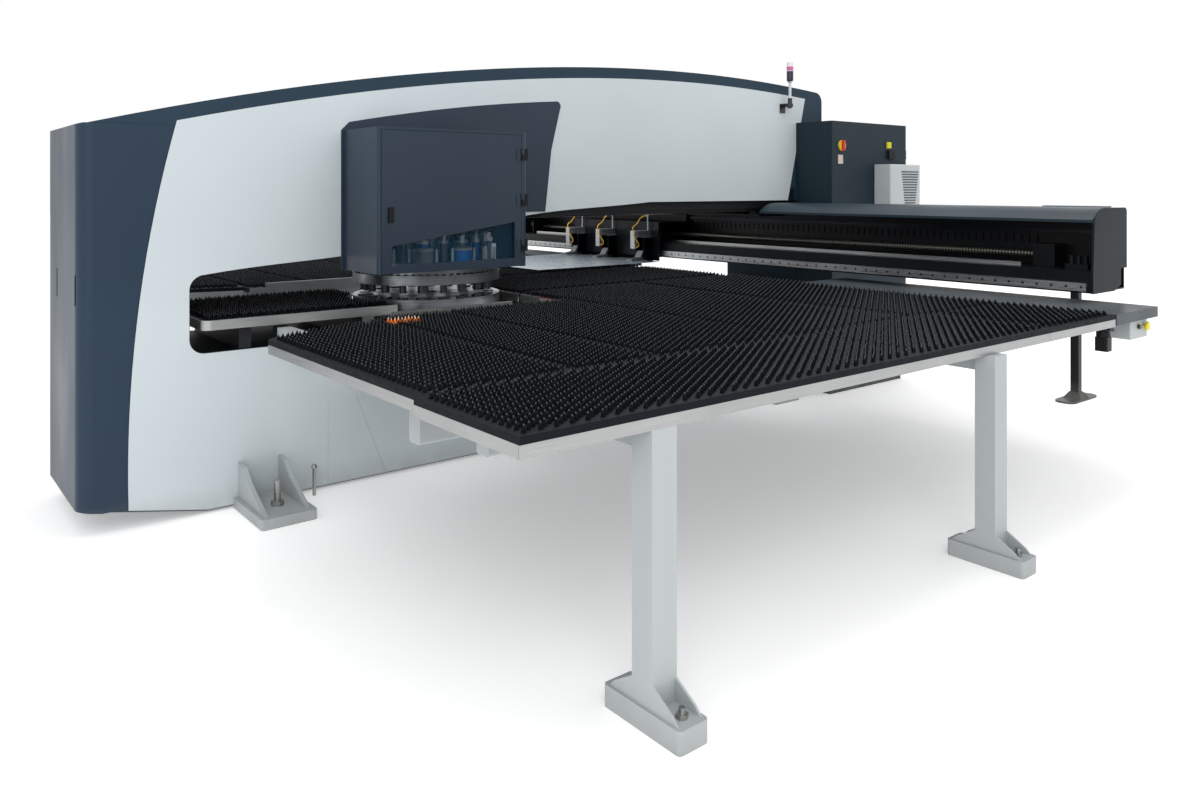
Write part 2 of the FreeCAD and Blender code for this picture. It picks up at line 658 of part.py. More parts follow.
def throat_corner(sign):
    """Quarter ring that carries the edge plate round a rear corner of the throat board."""
    x, y = sign * (THROAT_TABLE_HALF - THROAT_RADIUS), THROAT_TABLE_REAR + THROAT_RADIUS
    ring = tube(x, y, EDGE_BOTTOM, THROAT_RADIUS + TRIM_T, THROAT_RADIUS, BOARD_TOP - EDGE_BOTTOM)
    reach = THROAT_RADIUS + TRIM_T + 1
    x0, x1 = sorted((x, x + sign * reach))
    corner = box(x0, x1, y - reach, y, EDGE_BOTTOM - 1, BOARD_TOP + 1)
    return ring.common(corner)


def make_table_trims():
    """Strips under the outer edges of the tables, and taller edge plates round the throat."""
    below = [
        ((1186, TABLE_REAR_INNER), (TABLE_SPLIT - 1, TABLE_REAR_INNER)),
        ((TABLE_SPLIT + 3, TABLE_REAR), (TABLE_OUTER - TRIM_T - 1, TABLE_REAR)),
        ((TABLE_OUTER, TABLE_REAR), (TABLE_OUTER, TABLE_JOINT - 1)),
        ((TABLE_OUTER, TABLE_JOINT + 1), (TABLE_OUTER, TABLE_FRONT - 10)),
        ((1008, -1058), (1153, -1622)),
    ]
    plates = [
        ((TABLE_INNER - 2, TABLE_THROAT), (471, TABLE_THROAT)),
        ((TABLE_INNER, -1054), (TABLE_INNER, TABLE_THROAT - 8)),
    ]
    strips = [trim_strip(a, b) for a, b in below]
    strips += [trim_strip(a, b, EDGE_BOTTOM, BOARD_TOP) for a, b in plates]
    strips.append(box(TABLE_INNER + 0.5, TABLE_INNER + 15, -950, -235, BOARD_TOP, 980))
    half, rear = THROAT_TABLE_HALF, THROAT_TABLE_REAR
    around = [
        ((half - THROAT_RADIUS, rear), (-half + THROAT_RADIUS, rear)),
        ((half, -692), (half, rear + THROAT_RADIUS)),
        ((-half, rear + THROAT_RADIUS), (-half, -692)),
        ((half - 1, TABLE_THROAT), (-half + 1, TABLE_THROAT)),
    ]
    throat = [trim_strip(a, b, EDGE_BOTTOM, BOARD_TOP) for a, b in around]
    return both_sides(strips) + throat + [throat_corner(1), throat_corner(-1)]


def table_beam(x, half, y0, y1, bottom):
    """Box beam along Y, closed at its rear end, with a narrow rib on top that carries the boards."""
    outer = box(x - half, x + half, y0, y1, bottom, TRIM_BOTTOM)
    outer = round_edges(outer, 12.0, lambda c, e: runs_along(e, "y") and c.z < bottom + 1)
    bore = box(x - half + 4, x + half - 4, y0 + 4, y1 + 1, bottom + 4, TRIM_BOTTOM - 4)
    rib = box(x - 12, x + 12, y0, y1, TRIM_BOTTOM, BOARD_BOTTOM)
    return fuse([outer.cut(bore), rib])


def frame_bracket():
    """Welded bracket on the frame side that carries the inner end of the table."""
    y0, y1, top, t = -985.0, -560.0, 821.0, 14.0
    cheek = [(FOOT_X0, 620), (800, 620), (1000, 700), (1000, top - t), (FOOT_X0, top - t)]
    sloped = [(800, 620), (1000, 700), (1000, 700 + t), (796, 632)]
    return [
        prism_xz(cheek, y0, y0 + t),
        prism_xz(cheek, y1 - t, y1),
        prism_xz(sloped, y0 + t, y1 - t),
        box(1000 - t, 1000, y0 + t, y1 - t, 716, top - t),
        box(FOOT_X0, 1000, y0, y1, top - t, top),
    ]


def make_table_frames():
    """Square tubes under the boards, standing on the legs and on brackets of the frame."""
    tubes = []
    inner, deep, outer = 1240.0, 2200.0, 2790.0
    tubes.append(table_beam(inner, 35, -1400, TABLE_FRONT - 30, 812))
    tubes.append(table_beam(deep, 40, -1500, TABLE_FRONT - 30, 700))
    tubes.append(table_beam(outer, 35, -1585, TABLE_FRONT - 30, 806))
    for leg_x, y in LEGS:
        for x0, x1 in ((inner + 36, deep - 41), (deep + 41, outer - 36), (outer + 36, leg_x - 45.3)):
            tubes.append(box(x0, x1, y - 35, y + 35, 822, 891))
    for y in (-1330.0, -772.0, LEGS[1][1]):
        tubes.append(box(FOOT_X0, 1204, y - 35, y + 35, 822, 891))
    tubes += frame_bracket()
    rows = (-1500, -900, 300, 1100, 1850)
    sleepers = [box(-390, 390, y - 30, y + 30, THROAT_FLOOR, BOARD_BOTTOM) for y in rows]
    return both_sides(tubes) + sleepers


def make_leg(x, y):
    """Square post on a base block with two pairs of raked webs; the solids touch and are welded."""
    post = box(x - 45, x + 45, y - 50, y + 50, 70, TRIM_BOTTOM)
    base = box(x - 170, x + 170, y - 59, y + 59, 0, 70)
    base = round_edges(base, 14.0, lambda c, e: runs_along(e, "z"))
    webs = []
    for side in (-1, 1):
        outline = [(x + side * 45, 70), (x + side * 150, 70), (x + side * 128, 92), (x + side * 45, 142)]
        for y0 in (y - 50, y + 42):
            webs.append(prism_xz(outline, y0, y0 + 8))
        base = base.cut(rod(x + side * 118, y, -1, 11.0, 80))
    return [post, base] + webs


def make_legs():
    solids = []
    for x, y in LEGS:
        solids += make_leg(x, y)
    return solids


def make_load_plates():
    """Flat steel shelf at the front end of the tables, under the parked beam."""
    x0, x1, y0, y1 = LOAD_PLATE_INNER, TABLE_OUTER + 2, TABLE_FRONT + 1, PLATE_FRONT
    plate = box(x0, x1, y0, y1, 898, BOARD_TOP)
    plate = plate.cut(box(x0 + 6, x1 - 6, y0 + 6, y1 - 6, 890, BOARD_TOP - 6))
    hole = rod(LOCATOR_X, LOCATOR_Y, 890, PIN_BORE, 100)
    plate = plate.cut(hole)
    return [plate, mirror_x(plate)]


# ---------------------------------------------------------------- small equipment at the table edge
LOCATOR_X = 3050.0
LOCATOR_Y = 2035.0
LOCATOR_R = 14.0
PIN_BORE = 16.0


def make_locator_cylinder():
    """Air cylinder of the sheet locating pin, hanging under the load plate."""
    x, y = LOCATOR_X, LOCATOR_Y
    flange = box(x - 42, x + 42, y - 42, y + 42, 855, 862)
    stand = [box(x + s * 36 - 5, x + s * 36 + 5, y - 20, y + 20, 862, BOARD_TOP - 6) for s in (-1, 1)]
    barrel = box(x - 32, x + 32, y - 32, y + 32, 750, 822)
    barrel = round_edges(barrel, 9.0, lambda c, e: runs_along(e, "z"))
    whole = fuse([rod(x, y, 822, 34, 33), flange, barrel] + stand)
    return [whole.cut(rod(x, y, 770, LOCATOR_R + RUNNING, 100))]


def make_locator_pin():
    return [round_edges(rod(LOCATOR_X, LOCATOR_Y, 800, LOCATOR_R, BOARD_TOP - 3 - 800), 3.0,
                        lambda c, e: c.z > BOARD_TOP - 4)]


BOX_X = (3000.0, 3098.0)
BOX_Y = (2245.0, 2470.0)
BOX_Z = (789.0, 896.0)
STOP_AT = (2425.0, 850.0)
START_AT = (2350.0, 852.0)


def make_button_box():
    x0, x1 = BOX_X
    y0, y1 = BOX_Y
    z0, z1 = BOX_Z
    shell = box(x0, x1, y0, y1, z0, z1)
    shell = round_edges(shell, 8.0, lambda c, e: runs_along(e, "x"))
    shell = shell.cut(box(x0 + 4, x1 - 4, y0 + 4, y1 - 4, z0 + 4, z1 - 4))
    lugs = [box(x0 + 20, x0 + 50, y, y + 30, z1 - 4, BOARD_TOP - 6) for y in (2262, 2420)]
    shell = fuse([shell] + lugs)
    for y, z in (STOP_AT, START_AT):
        shell = shell.cut(rod(x1 - 10, y, z, 9.0, 20, "x"))
    return [shell]


def make_stop_button():
    y, z = STOP_AT
    stem = rod(BOX_X[1] - 14, y, z, 9.0 - RUNNING, 26, "x")
    head = Part.makeCone(17, 25, 8, V(BOX_X[1] + 10, y, z), V(1, 0, 0))
    dome = round_edges(rod(BOX_X[1] + 18, y, z, 25, 10, "x"), 6.0, lambda c, e: c.x > BOX_X[1] + 27)
    return [fuse([stem, head, dome])]


def make_start_button():
    y, z = START_AT
    stem = rod(BOX_X[1] - 12, y, z, 9.0 - RUNNING, 18, "x")
    cap = rod(BOX_X[1] + 4.5, y, z, 13, 8, "x")
    return [fuse([stem, cap])]


# ---------------------------------------------------------------- carriage beam
def make_carriage_beam():
    """Welded box beam: a low shelf with the front rail and a spine behind it."""
    shelf = box(-BEAM_HALF, BEAM_HALF, BEAM_FRONT, BEAM_BACK, BEAM_BOTTOM, BEAM_SHELF)
    spine = box(-BEAM_HALF, BEAM_HALF, BEAM_SPINE, BEAM_BACK, BEAM_SHELF - 5, BEAM_SPINE_TOP)
    beam = fuse([shelf, spine])
    wall = 8.0
    end, half, top = BEAM_HALF + 1, BEAM_NECK_HALF, BEAM_SPINE_TOP + 10
    y0, y1 = BEAM_SPINE - 10, BEAM_BACK + 10
    low = box(-end, end, BEAM_FRONT + wall, BEAM_BACK - wall, BEAM_BOTTOM + wall, BEAM_SHELF - wall)
    high = box(-end, end, BEAM_SPINE + wall, BEAM_BACK - wall, BEAM_SHELF - 20, BEAM_SPINE_TOP - wall)
    neck = box(-half, half, y0, y1, BEAM_NECK_TOP, top)
    inner = fuse([low, high]).cut(box(-half - wall, half + wall, y0, y1, BEAM_NECK_TOP - wall, top))
    return [cut(beam, [inner, neck])]


def hood_profile(grow):
    """Section of the hood over a beam wing: back wall, top and rolled front edge."""
    back, top = BEAM_BACK + 5 + grow, HOOD_TOP - 3 + grow
    front = BEAM_FRONT + 20 - grow
    return [
        ((back, BEAM_SHELF), (back, top - 30)),
        ((back, top - 30), (back - 9, top - 9), (back - 30, top)),
        ((back - 30, top), (2520, top)),
        ((2520, top), (2425 - 0.6 * grow, top - 16), (front, HOOD_LIP + 16)),
    ], (front, HOOD_LIP + 16), (back, BEAM_SHELF)


def make_beam_covers():
    """Sheet hoods of the two beam wings, from just outside the frame to the end caps."""
    outer, outer_tip, outer_foot = hood_profile(3.0)
    inner, inner_tip, inner_foot = hood_profile(0.0)
    edges = list(outer)
    edges.append((outer_tip, (outer_tip[0], HOOD_LIP)))
    edges.append(((outer_tip[0], HOOD_LIP), (inner_tip[0], HOOD_LIP)))
    edges.append(((inner_tip[0], HOOD_LIP), inner_tip))
    edges += [tuple(reversed(e)) for e in reversed(inner)]
    edges.append((inner_foot, outer_foot))
    x0 = BEAM_NECK_HALF + 6
    hood = Part.Face(wire_yz(edges, x0)).extrude(V(BEAM_HALF - x0, 0, 0))
    stays = []
    for x in (x0 + 10, 1650.0, BEAM_HALF - 20):
        stays.append(box(x, x + 6, BEAM_SPINE + 10, BEAM_BACK - 10, BEAM_SPINE_TOP, HOOD_TOP - 3))
    hood = fuse([hood] + stays)
    return [hood, mirror_x(hood)]


def make_beam_end_caps():
    """End plates of the beam, stepped back below the hood."""
    outline = [
        ((2322, BEAM_BOTTOM - 2), (2322, 1118)),
        ((2322, 1118), (2340, HOOD_LIP)),
        ((2340, HOOD_LIP), (2400, HOOD_TOP - 22), (2520, HOOD_TOP + 1)),
        ((2520, HOOD_TOP + 1), (2740, HOOD_TOP + 1)),
        ((2740, HOOD_TOP + 1), (2762, HOOD_TOP - 8), (2770, HOOD_TOP - 30)),
        ((2770, HOOD_TOP - 30), (2770, BEAM_SHELF)),
        ((2770, BEAM_SHELF), (2690, BEAM_SHELF)),
        ((2690, BEAM_SHELF), (2690, BEAM_BOTTOM + 30)),
        ((2690, BEAM_BOTTOM + 30), (2600, BEAM_BOTTOM - 2)),
        ((2600, BEAM_BOTTOM - 2), (2322, BEAM_BOTTOM - 2)),
    ]
    cap = Part.Face(wire_yz(outline, BEAM_HALF)).extrude(V(CAP_T, 0, 0))
    return [cap, mirror_x(cap)]


def make_x_rails():
    y0, y1, z0, z1 = SHELF_BAR
    rails = [box(-2640, X_SCREW_END - 100, y0, y1, z0, z1)]
    for y0, y1, z0, z1 in (LOWER_RAIL, UPPER_RAIL):
        rails.append(box(-BEAM_HALF + 20, BEAM_HALF - 20, y0, y1, z0, z1))
    return rails


def make_x_drive():
    """Bearing blocks of the long screw, its motors on brackets and the air valves at the beam end."""
    y, z = X_SCREW
    blocks = []
    for x, length in ((-2800.0, 60.0), (X_SCREW_END - 60, 130.0)):
        block = box(x, x + length, y - 70, y + 62, BEAM_SHELF, z + 66)
        blocks.append(block.cut(rod(x - 1, y, z, SCREW_R + RUNNING, length + 2, "x")))
    bracket = box(-2692, -2680, y - 150, BEAM_SPINE, BEAM_SHELF, z + 62)
    blocks.append(bracket.cut(rod(-2700, y, z, SCREW_R + 6, 40, "x")))
    blocks.append(rod(-2732, y - 105, z + 25, 42, 40, "x"))
    blocks += [rod(-740, 2440, 1424, 33, 140, "x"), box(-600, -588, 2396, BEAM_SPINE, 1391, 1448)]
    blocks.append(box(2676, 2804, 2430, 2500, BEAM_SHELF, BEAM_SHELF + 28))
    blocks += [rod(2700 + 40 * k, 2465, BEAM_SHELF + 28, 14, 47) for k in range(3)]
    return blocks


def make_x_screw():
    y, z = X_SCREW
    return [rod(-2790, y, z, SCREW_R, X_SCREW_END + 2790, "x")]


def make_y_saddle():
    """Saddle plate on the beam neck with four rail carriages and the screw nut."""
    plate = box(-380, 380, 2400, 2750, BEAM_NECK_TOP, BEAM_NECK_TOP + 18)
    parts = [plate]
    for x in (-Y_RAIL_X, Y_RAIL_X):
        for y in (2410.0, 2640.0):
            parts.append(box(x - 34, x + 34, y, y + 100, BEAM_NECK_TOP + 18, 1435))
    parts.append(box(-45, 45, 2540, 2620, BEAM_NECK_TOP + 18, Y_SCREW_Z + 30))
    saddle = fuse(parts)
    reach = 15 + RAIL_GAP
    for x in (-Y_RAIL_X, Y_RAIL_X):
        saddle = saddle.cut(box(x - reach, x + reach, 2390, 2760, Y_RAIL_Z[0] - RAIL_GAP, 1450))
    return [saddle.cut(rod(0, 2500, Y_SCREW_Z, SCREW_R + RUNNING, 200, "y"))]


def make_y_rails(frame):
    """Two rails under the frame's upper beam, on machined pads."""
    rails = []
    for x in (-Y_RAIL_X, Y_RAIL_X):
        rails.append(box(x - 15, x + 15, 380, 2785, Y_RAIL_Z[0], Y_RAIL_Z[1]))
        pad = box(x - 32, x + 32, 372, 2790, Y_RAIL_Z[1], 1530).cut(frame)
        rails.append(min(pad.Solids, key=lambda s: s.BoundBox.ZMin))
    return rails


def make_y_drive(frame):
    """Hangers of the frame screw and the motor that turns it."""
    parts = []
    for y in (395.0, 2790.0):
        hanger = box(-42, 42, y, y + 34, Y_SCREW_Z - 38, 1530).cut(frame)
        hanger = min(hanger.Solids, key=lambda s: s.BoundBox.ZMin)
        parts.append(hanger.cut(rod(0, y - 1, Y_SCREW_Z, SCREW_R + RUNNING, 40, "y")))
    parts.append(tube(0, 2825, Y_SCREW_Z, 60, SCREW_R + 1, 40, "y"))
    return parts


def make_y_screw():
    return [rod(0, 400, Y_SCREW_Z, SCREW_R, 2455, "y")]


# ---------------------------------------------------------------- clamps
def make_clamp_carriage():
    """Long front plate on both X rails, with the screw nut at its middle."""
    x0, x1 = CLAMP_X[0] - 128, CLAMP_X[2] + 128
    middle = 0.5 * (x0 + x1)
    parts = [
        box(x0, x1, 2265, 2297, 1015, 1310),
        box(x0, x1, 2297, 2605, 1290, 1310),
        box(x0, x1, 2592, 2606, 1290, 1366),
        box(middle - 60, middle + 60, 2512, 2606, X_SCREW[1] - 44, 1292),
    ]
    ly0, ly1, lz0, lz1 = LOWER_RAIL
    uy0, uy1, uz0, uz1 = UPPER_RAIL
    for x in (x0 + 20, middle - 60, x1 - 140):
        parts.append(box(x, x + 120, 2296, 2321, lz0 - 12, lz1 + 12))
        parts.append(box(x, x + 120, 2604, 2636, uz0 - 12, uz1 + 12))
    carriage = fuse(parts)
    carriage = carriage.cut(box(x0 - 5, x1 + 5, ly0 - RAIL_GAP, ly1 + 5, lz0 - RAIL_GAP, lz1 + RAIL_GAP))
    carriage = carriage.cut(box(x0 - 5, x1 + 5, uy0 - RAIL_GAP, uy1 + 5, uz0 - RAIL_GAP, uz1 + RAIL_GAP))
    carriage = carriage.cut(rod(middle - 80, X_SCREW[0], X_SCREW[1], SCREW_R + RUNNING, 160, "x"))
    return [carriage]


def make_clamp_bodies():
    """Clamp bodies: base block with the lower jaw, side cheeks and the air cylinder arm."""
    bodies = []
    for x in CLAMP_X:
        base = box(x - 52, x + 52, 2215, 2265, 985, 1180)
        lower = box(x - 60, x + 60, 2045, 2265, SHEET_BOTTOM - 8, SHEET_BOTTOM)
        cheeks = [box(x + s * 45 - 7, x + s * 45 + 7, 2168, 2216, 1006, 1180) for s in (-1, 1)]
        arm = box(x - 30, x + 30, 2110, 2265, 1180, 1236)
        column = box(x - 26, x + 26, 2084, 2112, 1086, 1236)
        mast = fuse([rod(x + 20, 2242, 1236, 6.0, 128), rod(x + 20, 2242, 1352, 13.0, 26)])
        body = fuse([base, lower, arm, column, mast] + cheeks)
        pivot = fuse([rod(x - 52, JAW_PIVOT[0], JAW_PIVOT[1], PIN_R, 104, "x")])
        bodies.append(fuse([body, pivot]))
    return bodies


def make_clamp_jaw(k):
    """Upper jaw lever on its pin, with a flat nose over the sheet edge."""
    x = CLAMP_X[k]
    y, z = JAW_PIVOT
    grip = SHEET_BOTTOM + SHEET_T + 0.5
    outline = [(2048, grip), (2150, grip), (2208, 1018), (2208, 1062)]
    outline += [(2176, 1066), (2140, 1012), (2048, 1000)]
    lever = prism_yz(outline, x - 36, x + 36)
    return [lever.cut(rod(x - 50, y, z, PIN_R + RUNNING, 100, "x"))]


def bent_tube(points, r):
    """Round tube along straight runs joined by tangent arcs."""
    edges = []
    start = points[0]
    for a, b, c in zip(points, points[1:], points[2:]):
        run_in, run_out = b.sub(a), c.sub(b)
        turn = run_in.getAngle(run_out)
        radius = 0.45 * min(run_in.Length, run_out.Length) / math.tan(turn / 2)
        reach = radius * math.tan(turn / 2)
        unit_in = V(run_in).normalize()
        unit_out = V(run_out).normalize()
        p0 = b.sub(V(unit_in).multiply(reach))
        p2 = b.add(V(unit_out).multiply(reach))
        bisector = V(unit_out).sub(unit_in).normalize()
        centre = b.add(V(bisector).multiply(radius / math.cos(turn / 2)))
        p1 = centre.sub(V(bisector).multiply(radius))
        edges.append(Part.LineSegment(start, p0).toShape())
        edges.append(Part.Arc(p0, p1, p2).toShape())
        start = p2
    edges.append(Part.LineSegment(start, points[-1]).toShape())
    path = Part.Wire(edges)
    tangent = points[1].sub(points[0])
    profile = Part.Wire(Part.makeCircle(r, points[0], tangent))
    return path.makePipeShell([profile], True, True)


HOSE_R = 4.0


def make_clamp_hoses():
    """Air hose of each clamp, clipped between the carriage mast and the cylinder column."""
    hoses = []
    for x in CLAMP_X:
        route = [(x + 20, 2228.8, 1362), (x + 20, 2165, 1362), (x + 16, 2120, 1290), (x + 24, 2058, 1270),
                 (x + 54, 2052, 1190), (x + 94, 2098, 1108), (x + 26.6, 2098, 1096)]
        hoses.append(bent_tube([V(*p) for p in route], HOSE_R))
    return hoses


def make_sheet_blank():
    return [box(-1741, -500, 940, 2170, SHEET_BOTTOM, SHEET_BOTTOM + SHEET_T)]


# ---------------------------------------------------------------- electrics and controls
def make_electrical_cabinet():
    x0, x1 = CAB_X
    y0, y1 = CAB_Y
    z0, z1 = CAB_Z
    shell = box(x0, x1 - 22, y0, y1, z0, z1)
    shell = shell.cut(box(x0 + 4, x1, y0 + 4, y1 - 4, z0 + 4, z1 - 4))
    plinth = box(x0 + 20, x1 - 40, y0 + 30, y1 - 20, 0, z0)
    plate = box(x0 + 4, x0 + 30, y0 + 60, y1 - 60, z0 + 80, z1 - 80)
    knuckles = [rod(x1 - 12, y1 + 8, z, 7.0, 39) for z in CAB_HINGES]
    pins = [rod(x1 - 12, y1 + 8, z + 39, 4.0, 36) for z in CAB_HINGES]
    webs = [box(x1 - 30, x1 - 12, y1, y1 + 8, z, z + 39) for z in CAB_HINGES]
    return [fuse([shell, plinth, plate] + knuckles + webs + pins)]


CAB_HINGES = (300.0, 1070.0, 1840.0)
SWITCH_AT = (2930.0, 1930.0)


def make_cabinet_door():
    """Door with its cooling unit; the main switch is carried through it."""
    x1 = CAB_X[1]
    y0, y1 = CAB_Y
    z0, z1 = CAB_Z
    door = box(x1 - 21, x1, y0, y1, z0, z1)
    door = round_edges(door, 5.0, lambda c, e: runs_along(e, "z") and c.x > x1 - 1)
    parts = [door]
    for z in CAB_HINGES:
        parts.append(rod(x1 - 12, y1 + 8, z + 40, 7.0, 35))
        parts.append(box(x1 - 18, x1 - 12, y1 - 5, y1 + 8, z + 40, z + 75))
    door = fuse(parts)
    door = door.cut(box(x1 - 22, x1 - 3, y0 + 12, y1 - 12, z0 + 12, z1 - 12))
    for z in CAB_HINGES:
        door = door.cut(rod(x1 - 12, y1 + 8, z, 4.0 + RUNNING, 80))
    door = door.cut(rod(x1 - 10, SWITCH_AT[0], SWITCH_AT[1], 8.0 + RUNNING, 20, "x"))
    fittings = [
        box(x1 - 0.5, x1 + 6, 2885, 2945, 1788, 1858),
        box(x1 - 0.5, x1 + 14, 3530, 3585, 1925, 1975),
        box(x1 - 0.5, x1 + 22, 3545, 3625, 1835, 1905),
    ]
    return [fuse([door] + fittings)]


def make_cabinet_cooler():
    """Cooling unit on the cabinet door."""
    x1 = CAB_X[1]
    body = box(x1 + 0.3, x1 + 150, 3370, 3790, 1120, 1790)
    body = round_edges(body, 12.0, lambda c, e: c.x > x1 + 149)
    return [body.cut(box(x1 + 8, x1 + 142, 3378, 3782, 1128, 1782))]


def make_main_switch():
    """Rotary main switch with a raised grip."""
    x1 = CAB_X[1]
    y, z = SWITCH_AT
    dial = rod(x1 + 1, y, z, 42, 12, "x")
    grip = box(x1 + 12, x1 + 34, y - 12, y + 12, z - 40, z + 40)
    grip = round_edges(grip, 6.0, lambda c, e: c.x > x1 + 33)
    stem = rod(x1 - 12, y, z, 8.0, 14, "x")
    return [fuse([dial, grip, stem])]


def make_signal_lamp():
    """Lamp stack on a white tube, on a bracket screwed to the frame's side panel."""
    x, y = 455.0, 2680.0
    bracket = fuse([box(400.2, 408, y - 65, y - 5, 2190, 2260), box(408, 470, y - 40, y + 14, 2236, 2262),
                    rod(x, y - 6, 2225, 17, 80)])
    pole = rod(x, y - 6, 2305, 11, 120)
    base = cone(x, y - 6, 2425, 14, 26, 22)
    stack = rod(x, y - 6, 2447, 26, 128)
    dome = round_edges(rod(x, y - 6, 2575, 26, 21), 12.0, lambda c, e: c.z > 2590)
    return [fuse([bracket, pole, base, stack, dome])]


def make_console_post():
    """Pedestal of the operator console: floor plate, flared foot and round-edged post."""
    plate = box(POST_X - 75, POST_X + 75, POST_Y - 225, POST_Y + 225, 0, 14)
    plate = round_edges(plate, 60.0, lambda c, e: runs_along(e, "z"))
    flare = Part.makeLoft([square_wire(POST_X, POST_Y, 14, 66), square_wire(POST_X, POST_Y, 60, 34)], True)
    post = box(POST_X - 31, POST_X + 31, POST_Y - 31, POST_Y + 31, 60, 1150)
    post = round_edges(post, 8.0, lambda c, e: runs_along(e, "z"))
    spots = (POST_X - 24, POST_X + 24)
    ears = [box(x - 7, x + 7, POST_Y - 25, POST_Y + 25, 1150, 1200) for x in spots]
    pin = rod(POST_X - 17, POST_Y, CONSOLE_PIVOT_Z, 8.0, 34, "x")
    return [plate, flare, post, pin] + ears


def square_wire(x, y, z, half):
    signs = ((-1, -1), (1, -1), (1, 1), (-1, 1))
    corners = [V(x + sx * half, y + sy * half, z) for sx, sy in signs]
    return Part.makePolygon(corners + [corners[0]])


CONSOLE_PIVOT_Z = 1180.0


def make_operator_console():
    """Control housing on the pedestal, with its screen and key field, tilting on a pin."""
    body = box(POST_X - 230, POST_X + 230, POST_Y - 60, POST_Y + 60, 1225, 1465)
    body = round_edges(body, 14.0, lambda c, e: runs_along(e, "x"))
    body = body.cut(box(POST_X - 192, POST_X + 72, POST_Y + 54, POST_Y + 70, 1263, 1437))
    screen = box(POST_X - 190, POST_X + 70, POST_Y + 53, POST_Y + 57, 1265, 1435)
    tongue = box(POST_X - 16.5, POST_X + 16.5, POST_Y - 18, POST_Y + 18, 1160, 1230)
    console = fuse([body, screen, tongue])
    return [console.cut(rod(POST_X - 40, POST_Y, CONSOLE_PIVOT_Z, 8.0 + RUNNING, 80, "x"))]


# ---------------------------------------------------------------- all nodes
def build():
    frame = make_press_frame()
    nodes = {
        "press_frame": frame,
        "side_panel_front": [make_side_panel()],
        "side_panel_rear": [mirror_x(make_side_panel())],
        "rear_end_cover": make_rear_end_cover(),
        "frame_feet": make_frame_feet(),
        "floor_screws": make_floor_screws(),
        "head_housing": make_head_housing(),
        "head_hinges": make_head_hinges(),
        "head_door": make_head_door(),
        "door_glass": make_door_glass(),
        "door_latch": make_door_latch(),
        "upper_turret": make_upper_turret(),
        "punch_tools": make_punch_tools(),
        "lower_turret": make_lower_turret(),
        "turret_dies": make_turret_dies(),
        "turret_bearings": make_turret_bearings(),
        "turret_drive": make_turret_drive(),
        "ram_cylinder": make_ram_cylinder(),
        "ram": make_ram(),
        "die_anvil": make_die_anvil(),
        "brush_boards_front": make_brush_boards(),
        "brush_boards_rear": [mirror_x(s) for s in make_brush_boards()],
        "throat_boards": make_throat_boards(),
        "brush_fields_front": make_brush_fields(),
        "brush_fields_rear": [mirror_x(s) for s in make_brush_fields()],
        "throat_brushes": make_throat_brushes(),
        "table_trims": make_table_trims(),
        "table_frames": make_table_frames(),
        "table_legs_front": make_legs(),
        "table_legs_rear": [mirror_x(s) for s in make_legs()],
        "load_plates": make_load_plates(),
        "locator_cylinder": make_locator_cylinder(),
        "locator_pin": make_locator_pin(),
        "button_box": make_button_box(),
        "stop_button": make_stop_button(),
        "start_button": make_start_button(),
        "carriage_beam": make_carriage_beam(),
        "beam_covers": make_beam_covers(),
        "beam_end_caps": make_beam_end_caps(),
        "x_rails": make_x_rails(),
        "x_drive": make_x_drive(),
        "x_screw": make_x_screw(),
        "y_saddle": make_y_saddle(),
        "y_rails": make_y_rails(frame[0]),
        "y_drive": make_y_drive(frame[0]),
        "y_screw": make_y_screw(),
        "clamp_carriage": make_clamp_carriage(),
        "clamp_bodies": make_clamp_bodies(),
        "clamp_hoses": make_clamp_hoses(),
        "sheet_blank": make_sheet_blank(),
        "electrical_cabinet": make_electrical_cabinet(),
        "cabinet_door": make_cabinet_door(),
        "cabinet_cooler": make_cabinet_cooler(),
        "main_switch": make_main_switch(),
        "signal_lamp": make_signal_lamp(),
        "console_post": make_console_post(),
        "operator_console": make_operator_console(),
    }
    for k in range(len(CLAMP_X)):
        nodes["clamp_jaw_%d" % (k + 1)] = make_clamp_jaw(k)
    return nodes


def origin_shift(nodes):
    """Move from the machine axes to an origin at the middle of the footprint."""
    bounds = FreeCAD.BoundBox()
    for solids in nodes.values():
        for solid in solids:
            bounds.add(solid.BoundBox)
    return V(-bounds.Center.x, -bounds.Center.y, -bounds.ZMin)


def main():
    os.makedirs("parts", exist_ok=True)
    nodes = build()
    shift = origin_shift(nodes)
    for name, solids in nodes.items():
        placed = []
        for solid in solids:
            moved = solid.copy()
            moved.translate(shift)
            placed.append(moved)
        shape = placed[0] if len(placed) == 1 else Part.makeCompound(placed)
        shape.exportStep(os.path.join("parts", name + ".step"))
        print("%-22s solids %2d  valid %s  volume %.4f m3" % (name, len(shape.Solids), shape.isValid(),
                                                              shape.Volume / 1e9))
    print("nodes", len(nodes), "shift", tuple(round(c, 3) for c in shift))


main()
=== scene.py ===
# %% [markdown]
# # A turret punch press, finished
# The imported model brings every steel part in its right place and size. This lesson adds
# what a solid modeller leaves out: thousands of brush tufts, rows of bolts, air hoses,
# slats and keys, and a finish for every surface. Each step first says what the real thing
# is and why it is made the way it is here.

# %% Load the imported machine
import json
import math

